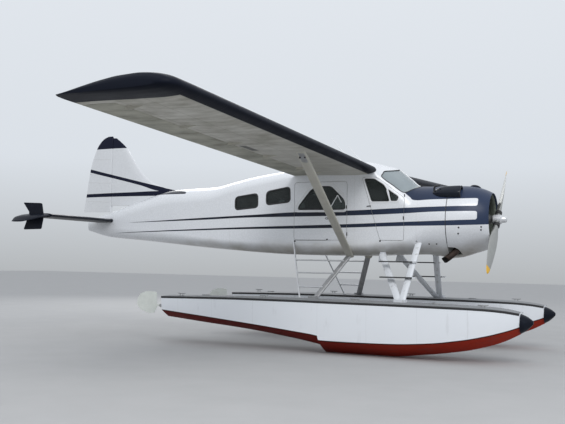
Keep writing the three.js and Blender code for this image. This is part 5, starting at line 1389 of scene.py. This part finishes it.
# Float fittings: the rudder's hinge lugs on the stern, round pump-out covers and mooring cleats on the deck.
def cleat(place_x, place_y, place_z):
    """Two-horned cleat: a bar with tapered ends on two short legs over a base plate."""
    horn = along([(place_x - 0.085, place_y, place_z + 0.044), (place_x - 0.045, place_y, place_z + 0.040),
                  (place_x + 0.045, place_y, place_z + 0.040), (place_x + 0.085, place_y, place_z + 0.044)], 14)
    legs = [rod((place_x + s * 0.026, place_y, place_z - 0.01), (place_x + s * 0.026, place_y, place_z + 0.040),
                0.008, 12) for s in (-1, 1)]
    base = block((place_x - 0.045, place_y - 0.016, place_z - 0.01),
                 (place_x + 0.045, place_y + 0.016, place_z + 0.005))
    return joined(pipe(horn, 0.009 - 0.004 * np.abs(np.linspace(-1, 1, 14)) ** 3, 12), *legs, base)


lugs = [joined(block((POST_X, FLOAT_Y - 0.026, low), (-1.690, FLOAT_Y + 0.026, low + 0.016)),
               rod((POST_X, FLOAT_Y, low), (POST_X, FLOAT_Y, low + 0.016), 0.026, 24)) for low in (0.536, 0.768)]
covers = [joined(rod((cx, FLOAT_Y, 0.880), (cx, FLOAT_Y, 0.903), 0.075, 32),
                 rod((cx, FLOAT_Y, 0.880), (cx, FLOAT_Y, 0.905), 0.050, 28),
                 block((cx - 0.030, FLOAT_Y - 0.004, 0.890), (cx + 0.030, FLOAT_Y + 0.004, 0.905)))
          for cx in (3.45, 0.35, -0.9)]
cleats = [cleat(cx, FLOAT_Y + cy, cz) for cx, cy, cz in (
    (-1.300, 0.215, 0.876), (0.450, 0.285, 0.893), (2.150, 0.285, 0.890), (4.250, 0.190, 0.866))]
pair("float_fittings", joined(*lugs, *covers, *cleats), light_metal.material, slot="bare_metal")

# Seats: two crew seats and two benches. Each has a sewn, padded cushion and back in grey cloth on a frame of
# painted steel tube that is bolted to the cabin floor.
# Columns: middle x and y, width
SEATS = {"pilot_seat": (1.930, 0.300, 0.450), "copilot_seat": (1.930, -0.300, 0.450),
         "passenger_bench": (0.960, 0.0, 1.080), "rear_bench": (-0.050, 0.0, 0.980)}
SEAT_LOW, PAN_Z = FLOOR_Z, 2.214
PAD_GRID, PAD_PRESSURE, PAD_FRAMES, SWELL = 0.013, 4.0, 20, 0.013

cloth = Finish("grey_seat_cloth")
spot, (x, y, z) = cloth.place()
weave = ((y * 900.0).math("SINE") * (x * 900.0 + z * 900.0).math("SINE")) * 0.5 + 0.5
thread = cloth.noise(spot, 400.0, 2.0)
wear = cloth.noise(spot, 7.0, 4.0)
cloth.done(Base_Color=cloth.mix((weave * 0.4 + thread * 0.4 + wear * 0.3).math("MINIMUM", 1.0),
                                (0.045, 0.047, 0.052, 1),
                                (0.14, 0.14, 0.145, 1)), Roughness=0.9, Sheen_Weight=0.35,
           Normal=cloth.bump(weave * 0.6 + thread * 0.4, 0.0008, 0.5))
frame_enamel = grained("seat_frame_enamel", ((0.05, 0.052, 0.055, 1), (0.16, 0.16, 0.155, 1)), (25.0, 5.0, 0.6),
                       (0.2, 0.35), edge=(0.60, 0.04), Metallic=0.2)


def gridded(name, shape):
    """The shape as an object whose skin is an even grid of small squares."""
    pad = added(name, mesh_of(name, shape))
    grid = pad.modifiers.new("grid", "REMESH")
    grid.mode, grid.voxel_size = "VOXEL", PAD_GRID
    even = bpy.data.meshes.new_from_object(pad.evaluated_get(bpy.context.evaluated_depsgraph_get()))
    pad.modifiers.clear()
    pad.data = even
    return pad


def padded_seat(name, shape, rest_z, channels, facing, ends):
    """A cushion blown up from a slightly smaller block: cloth under pressure, no point moving further than the
    swell, flat where it rests on its pan; then each sewn channel presses the facing side in by
    depth exp(-(distance / width)^2)."""
    pad = gridded(name, shape)
    start = read_all(pad.data.vertices, "co", 3)
    air = pad.modifiers.new("air", "CLOTH")
    air.settings.use_pressure, air.settings.uniform_pressure_force = True, PAD_PRESSURE
    air.settings.effector_weights.gravity = 0.0
    air.point_cache.frame_end = PAD_FRAMES
    for number in range(1, PAD_FRAMES + 1):
        bpy.context.scene.frame_set(number)
    settled = pad.evaluated_get(bpy.context.evaluated_depsgraph_get())
    blown = read_all(settled.data.vertices, "co", 3)
    pad.modifiers.clear()
    bpy.context.scene.frame_set(1)
    move = blown - start
    far = np.linalg.norm(move, axis=1, keepdims=True)
    start = start + move * np.minimum(1.0, SWELL / np.maximum(far, 1e-9))
    axis, places, width, depth = channels
    normals = read_all(pad.data.vertices, "normal", 3)
    front = np.clip(normals @ np.array(facing, float), 0, 1) ** 2
    near = np.exp(-((start[:, axis, None] - np.array(places)[None, :]) / width) ** 2).sum(1)
    start = start - np.array(facing, float) * (front * np.minimum(near, 1.0) * depth)[:, None]
    if rest_z is not None:
        start[:, 2] = np.maximum(start[:, 2], rest_z)
    start[:, 1] = np.clip(start[:, 1], *ends)
    pad.data.vertices.foreach_set("co", start.ravel())
    pad.data.polygons.foreach_set("use_smooth", np.ones(len(pad.data.polygons), bool))
    pad.data.materials.clear()
    pad.data.materials.append(cloth.material)
    finer = pad.modifiers.new("finer", "SUBSURF")
    finer.levels = finer.render_levels = 1
    return pad


for name, (seat_x, seat_y, seat_wide) in SEATS.items():
    y0, y1 = seat_y - seat_wide / 2, seat_y + seat_wide / 2
    base = prism(rounded([(seat_x - 0.214, 2.222), (seat_x + 0.214, 2.222), (seat_x + 0.214, 2.330),
                          (seat_x + 0.190, 2.345), (seat_x - 0.214, 2.335)], 0.03), y0 + 0.014, y1 - 0.014)
    back = prism(rounded([(seat_x - 0.222, 2.365), (seat_x - 0.166, 2.365), (seat_x - 0.250, 2.850),
                          (seat_x - 0.294, 2.850)], 0.025), y0 + 0.014, y1 - 0.014)
    channels = np.arange(y0 + 0.09, y1 - 0.05, 0.09)
    pad_base = padded_seat(f"{name}_cushion", base, PAN_Z, (1, channels, 0.009, 0.009), (0, 0, 1),
                           (y0 + 0.001, y1 - 0.001))
    lean = np.array([0.49, 0, 0.09]) / np.hypot(0.49, 0.09)
    pad_back = padded_seat(f"{name}_back", back, None, (1, channels, 0.009, 0.008), lean,
                           (y0 + 0.001, y1 - 0.001))
    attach(pad_base, "root")
    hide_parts(name)
    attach(pad_back, "root")
    legs = [rod((seat_x + px, side_y, SEAT_LOW), (seat_x + px, side_y, PAN_Z - 0.012), 0.012)
            for px in (-0.165, 0.165) for side_y in (y0 + 0.055, y1 - 0.055)]
    rails = [rod((seat_x - 0.18, side_y, SEAT_LOW + 0.012), (seat_x + 0.18, side_y, SEAT_LOW + 0.012), 0.012)
             for side_y in (y0 + 0.055, y1 - 0.055)]
    stays = [rod((seat_x - 0.165, side_y, SEAT_LOW + 0.03), (seat_x + 0.165, side_y, PAN_Z - 0.03), 0.008)
             for side_y in (y0 + 0.055, y1 - 0.055)]
    back_tubes = [pipe(along([(seat_x - 0.19, side_y, PAN_Z - 0.006), (seat_x - 0.222, side_y, 2.30),
                              (seat_x - 0.232, side_y, 2.40), (seat_x - 0.303, side_y, 2.84)], 16), 0.009, 12)
                  for side_y in (y0 + 0.05, y1 - 0.05)]
    pan = block((seat_x - 0.215, y0 + 0.03, PAN_Z - 0.014), (seat_x + 0.205, y1 - 0.03, PAN_Z - 0.001))
    put(f"{name}_frame", joined(*legs, *rails, *stays, *back_tubes, pan), frame_enamel.material, slot="seat_cloth")

# Instrument panel: a black crackle-painted board with a deep hood, round gauges with pale marks in bezels of the same
# black paint, a switch row, and a console with levers down to the floor.
crackle = grained("black_crackle_paint", ((0.012, 0.012, 0.013, 1), (0.04, 0.04, 0.042, 1)), (160.0, 3.0),
                  (0.2, 0.5), (0.001, 0.7))
BOARD_X = 2.560
board_edge = rounded([(-0.540, 2.420), (0.540, 2.420), (0.540, 2.655), (0.470, 2.740),
                     (-0.470, 2.740), (-0.540, 2.655)], 0.05)
hood_edge = rounded([(-0.500, 2.600), (0.500, 2.600), (0.500, 2.660), (0.440, 2.730),
                    (-0.440, 2.730), (-0.500, 2.660)], 0.04)
console = [block((2.542, -0.058, FLOOR_Z), (2.570, 0.058, 2.43)), block((2.545, -0.058, 2.384), (2.905, 0.058, 2.456))]
levers = [joined(rod((2.548, ly, 2.440), (2.545, ly, 2.400), 0.004, 10),
                 rod((2.546, ly, 2.388), (2.546, ly, 2.404), 0.009, 14)) for ly in (-0.036, -0.012, 0.012, 0.036)]
# Columns: middle y and z, radius
GAUGES = [(-0.40, 2.655, 0.040), (-0.29, 2.655, 0.040), (-0.18, 2.655, 0.040), (-0.40, 2.550, 0.040),
          (-0.29, 2.550, 0.040), (-0.18, 2.550, 0.040), (-0.05, 2.640, 0.034), (0.05, 2.640, 0.034),
          (-0.05, 2.550, 0.034), (0.05, 2.550, 0.034), (0.18, 2.655, 0.040), (0.29, 2.655, 0.040),
          (0.40, 2.655, 0.040), (0.18, 2.550, 0.040), (0.29, 2.550, 0.040), (0.40, 2.550, 0.040)]


def facing_aft(profile, gy, gz, steps=28):
    """Profile of distances aft of the board and radii, turned round a fore-and-aft axis through a gauge."""
    return turned([(BOARD_X - aft, r) for aft, r in profile], steps, gy, gz)


bezels = [facing_aft([(-0.004, 0.002), (-0.004, r), (0.004, r), (0.006, r - 0.003), (0.006, r - 0.006),
                      (0.002, r - 0.007), (0.002, 0.002)], gy, gz) for gy, gz, r in GAUGES]
tick_turn = np.linspace(np.radians(-130), np.radians(130), 11)
ticks = [rod((BOARD_X - 0.0030, gy + np.sin(t) * r * 0.55, gz + np.cos(t) * r * 0.55),
             (BOARD_X - 0.0030, gy + np.sin(t) * r * 0.74, gz + np.cos(t) * r * 0.74), 0.0010, 4, 0.0002)
         for gy, gz, r in GAUGES for t in tick_turn]
needles = [rod((BOARD_X - 0.0036, gy, gz),
               (BOARD_X - 0.0036, gy + np.sin(i * 1.9) * r * 0.62, gz + np.cos(i * 1.9) * r * 0.62), 0.0014, 6, 0.0003)
           for i, (gy, gz, r) in enumerate(GAUGES)]
switches = [rod((BOARD_X + 0.002, sy, 2.462), (BOARD_X - 0.014, sy, 2.468), 0.004, 10)
            for sy in np.linspace(-0.45, 0.45, 15)]
put("panel_board", joined(across_x(board_edge, BOARD_X, 2.620), across_x(hood_edge, 2.615, 2.700),
                          *console, *levers, *bezels),
    crackle.material, replaces=["instrument_panel"], slot="cabin_fittings")
put("panel_marks", joined(*ticks, *needles, *switches), rim_white.material, slot="cabin_fittings")

# Control column: a black-painted tube from the floor that swings over to the pilot's side and carries a wheel
# with two horns.
column = pipe(along([(2.400, 0, 1.930), (2.400, 0, 2.200), (2.400, 0, 2.355), (2.388, 0.045, 2.392),
                     (2.352, 0.200, 2.473), (2.330, 0.290, 2.516)], 40), 0.020, 20)
boot = pipe(np.array([(2.400, 0, 1.930), (2.400, 0, 1.945), (2.400, 0, 1.985), (2.400, 0, 2.010)]),
            [0.028, 0.028, 0.024, 0.0205], 24)
horns = pipe(along([(2.325, 0.166, 2.612), (2.325, 0.150, 2.560), (2.325, 0.158, 2.508), (2.325, 0.200, 2.496),
                    (2.325, 0.290, 2.500), (2.325, 0.380, 2.496), (2.325, 0.422, 2.508), (2.325, 0.430, 2.560),
                    (2.325, 0.414, 2.612)], 60), 0.013, 16)
wheel_hub = turned([(2.315, 0.004), (2.315, 0.030), (2.322, 0.036), (2.336, 0.036), (2.345, 0.026), (2.345, 0.004)],
                   28, 0.290, 2.505)
put("control_wheel", joined(column, boot, horns, wheel_hub), crackle.material, replaces=["control_column"],
    slot="cabin_fittings")

# Small fittings of the fuselage: hinge barrels and handles of the doors, drains and a sill strip low on the side,
# latches on the cowling and dark vents on the nose, each pressed or screwed on a few millimetres off the skin.
def studs(places, radius, rise, sides=20):
    """Round buttons on the port side: short bars along the skin's own normal at stations and heights."""
    x, z = np.array(places, float).T
    feet = np.column_stack([x, skin_y(x, z), z])
    normals = skin_normals(feet)
    return [rod(foot - normal * 0.006, foot + normal * rise, radius, sides, rise / 4)
            for foot, normal in zip(feet, normals)]


def barrels(places, half):
    """Upright hinge barrels that touch the skin at stations and heights."""
    x, z = np.array(places, float).T
    return [rod((px, py, pz - half), (px, py, pz + half), 0.0085, 16) for px, py, pz in zip(x, skin_y(x, z) + 0.003, z)]


def latches(places):
    """Flat buttons on the cowling at stations and angles from straight up towards port."""
    return [rod(on_cowl(x, np.radians(turn), -0.004), on_cowl(x, np.radians(turn), 0.005), 0.015, 18)
            for x, turn in places]


dark_bits = [*barrels([(2.668, 2.744), (2.668, 2.345), (1.592, 2.554), (1.606, 2.061)], 0.030),
             *studs([(3.103, 1.892), (3.232, 1.894), (2.942, 2.273)], 0.014, 0.002),
             *studs([(1.220, 1.959), (0.573, 1.928), (2.241, 1.937)], 0.016, 0.008),
             *latches([(3.637, 103), (3.623, 112.6), (4.000, 106), (3.994, 111.8)])]
sill_x = np.linspace(0.600, 1.200, 13)
sill_z = np.full(13, 1.945)
sill_path = np.column_stack([sill_x, skin_y(sill_x, sill_z), sill_z])
sill = swept(sill_path, half_round(0.010, 0.0035), skin_normals(sill_path), closed=False)
disc = studs([(2.632, 2.672)], 0.017, 0.004)
handle_y = float(skin_y(np.array([2.045]), np.array([2.566]))[0])
handle = joined(rod((2.050, handle_y - 0.004, 2.566), (2.050, handle_y + 0.014, 2.566), 0.012),
                rod((1.985, handle_y + 0.012, 2.560), (2.062, handle_y + 0.012, 2.567), 0.007))
pair("side_fittings", joined(*dark_bits, sill), rubber.material, slot="black_plastic")
pair("side_disc", disc[0], rim_white.material, slot="white_paint")
pair("door_handle", handle, rubber.material, "crew_door", slot="black_plastic")

# Top fittings: two raked whip aerials on the cabin roof, a short blade aerial on the rear fuselage and the oil
# filler's blister on the cowling.
def whip(foot, tip):
    """Tapering rod aerial on a small round foot."""
    foot, tip = np.array(foot, float), np.array(tip, float)
    path = foot + (tip - foot) * np.linspace(0, 1, 8)[:, None]
    return joined(pipe(path, np.linspace(0.011, 0.006, 8), 12), rod(foot - (0, 0, 0.03), foot + (0, 0, 0.02), 0.022))


blade_z = np.linspace(2.850, 2.996, 8)
blade_back = (blade_z - 2.850) * 0.45
turn = circle(24)[None, :]
blade_aerial = loft(spread(-1.80 - blade_back[:, None] + (0.055 - blade_back[:, None] * 0.35) * np.cos(turn),
                           0.007 * np.sin(turn), blade_z[:, None]))
whips = [whip((1.516, 0.0, 3.380), (1.006, 0.0, 3.947)), whip((1.712, 0.0, 3.380), (1.360, 0.0, 3.775))]
put("aerials", joined(*whips, blade_aerial),
    rim_white.material, slot="white_paint")
blister_x = 3.700 + 0.200 * (1 - np.cos(np.linspace(0.05, np.pi - 0.05, 16))) / 2
swell = np.sqrt(np.clip(1 - ((blister_x - 3.800) / 0.101) ** 2, 0.001, 1))[:, None]
blister_z = THRUST_Z + cowl_radius(blister_x) - faired(blister_x, COWL)[:, 1]
turn = circle(28)[None, :]
blister = loft(spread(blister_x[:, None], 0.075 * swell * np.cos(turn),
                      blister_z[:, None] - 0.010 + 0.045 * swell * np.sin(turn)))
put("filler_blister", blister, navy_gloss.material, slot="black_plastic")

# Wing fittings: hinge brackets of sheet under the flaps and ailerons, and the struts' upper sleeves with two
# bolts and a tie-down eye lower down.
bracket = np.array([(0.520, airfoil([0.52], 1)[0] + 0.002), (0.684, airfoil([0.684], 1)[0] + 0.002), (0.698, -0.036),
                    (0.640, -0.044)])
brackets = [loft(wing_rings(np.array([span - 0.005, span + 0.005]), bracket))
            for span in (1.050, 1.650, 2.950, 4.100, 5.400, 6.600)]
foot, head = np.array(STRUT_FOOT), np.array(STRUT_HEAD)
axis = (head - foot) / np.linalg.norm(head - foot)
across = np.cross(axis, (1.0, 0.0, 0.0))
across /= np.linalg.norm(across)
# Places up the strut, as shares of its length
SLEEVE_LOW, SLEEVE_HIGH, PIN_AT, EYE_AT = 0.885, 0.955, 0.925, 0.385
sleeve = strut_shape(foot + (head - foot) * SLEEVE_LOW, foot + (head - foot) * SLEEVE_HIGH, 0.150, 0.070)
pin = foot + (head - foot) * PIN_AT
bolts = [rod(pin + (ahead, 0, 0) - across * 0.045, pin + (ahead, 0, 0) + across * 0.045, 0.013)
         for ahead in (-0.040, 0.045)]
eye = foot + (head - foot) * EYE_AT
turn = np.linspace(0, 2 * np.pi, 20)[:, None]
ring_path = eye - (0.105, 0, 0) + 0.024 * (np.cos(turn) * (1.0, 0, 0) + np.sin(turn) * axis)
ring = loft(pipe_rings(ring_path[:-1], 0.005, 10), closed=True)
pair("hinge_brackets", joined(*brackets), strut_paint.material, slot="strut_grey")
pair("strut_sleeve", sleeve, light_metal.material, slot="bare_metal")
pair("strut_bolts", joined(*bolts, ring), rubber.material, slot="black_plastic")
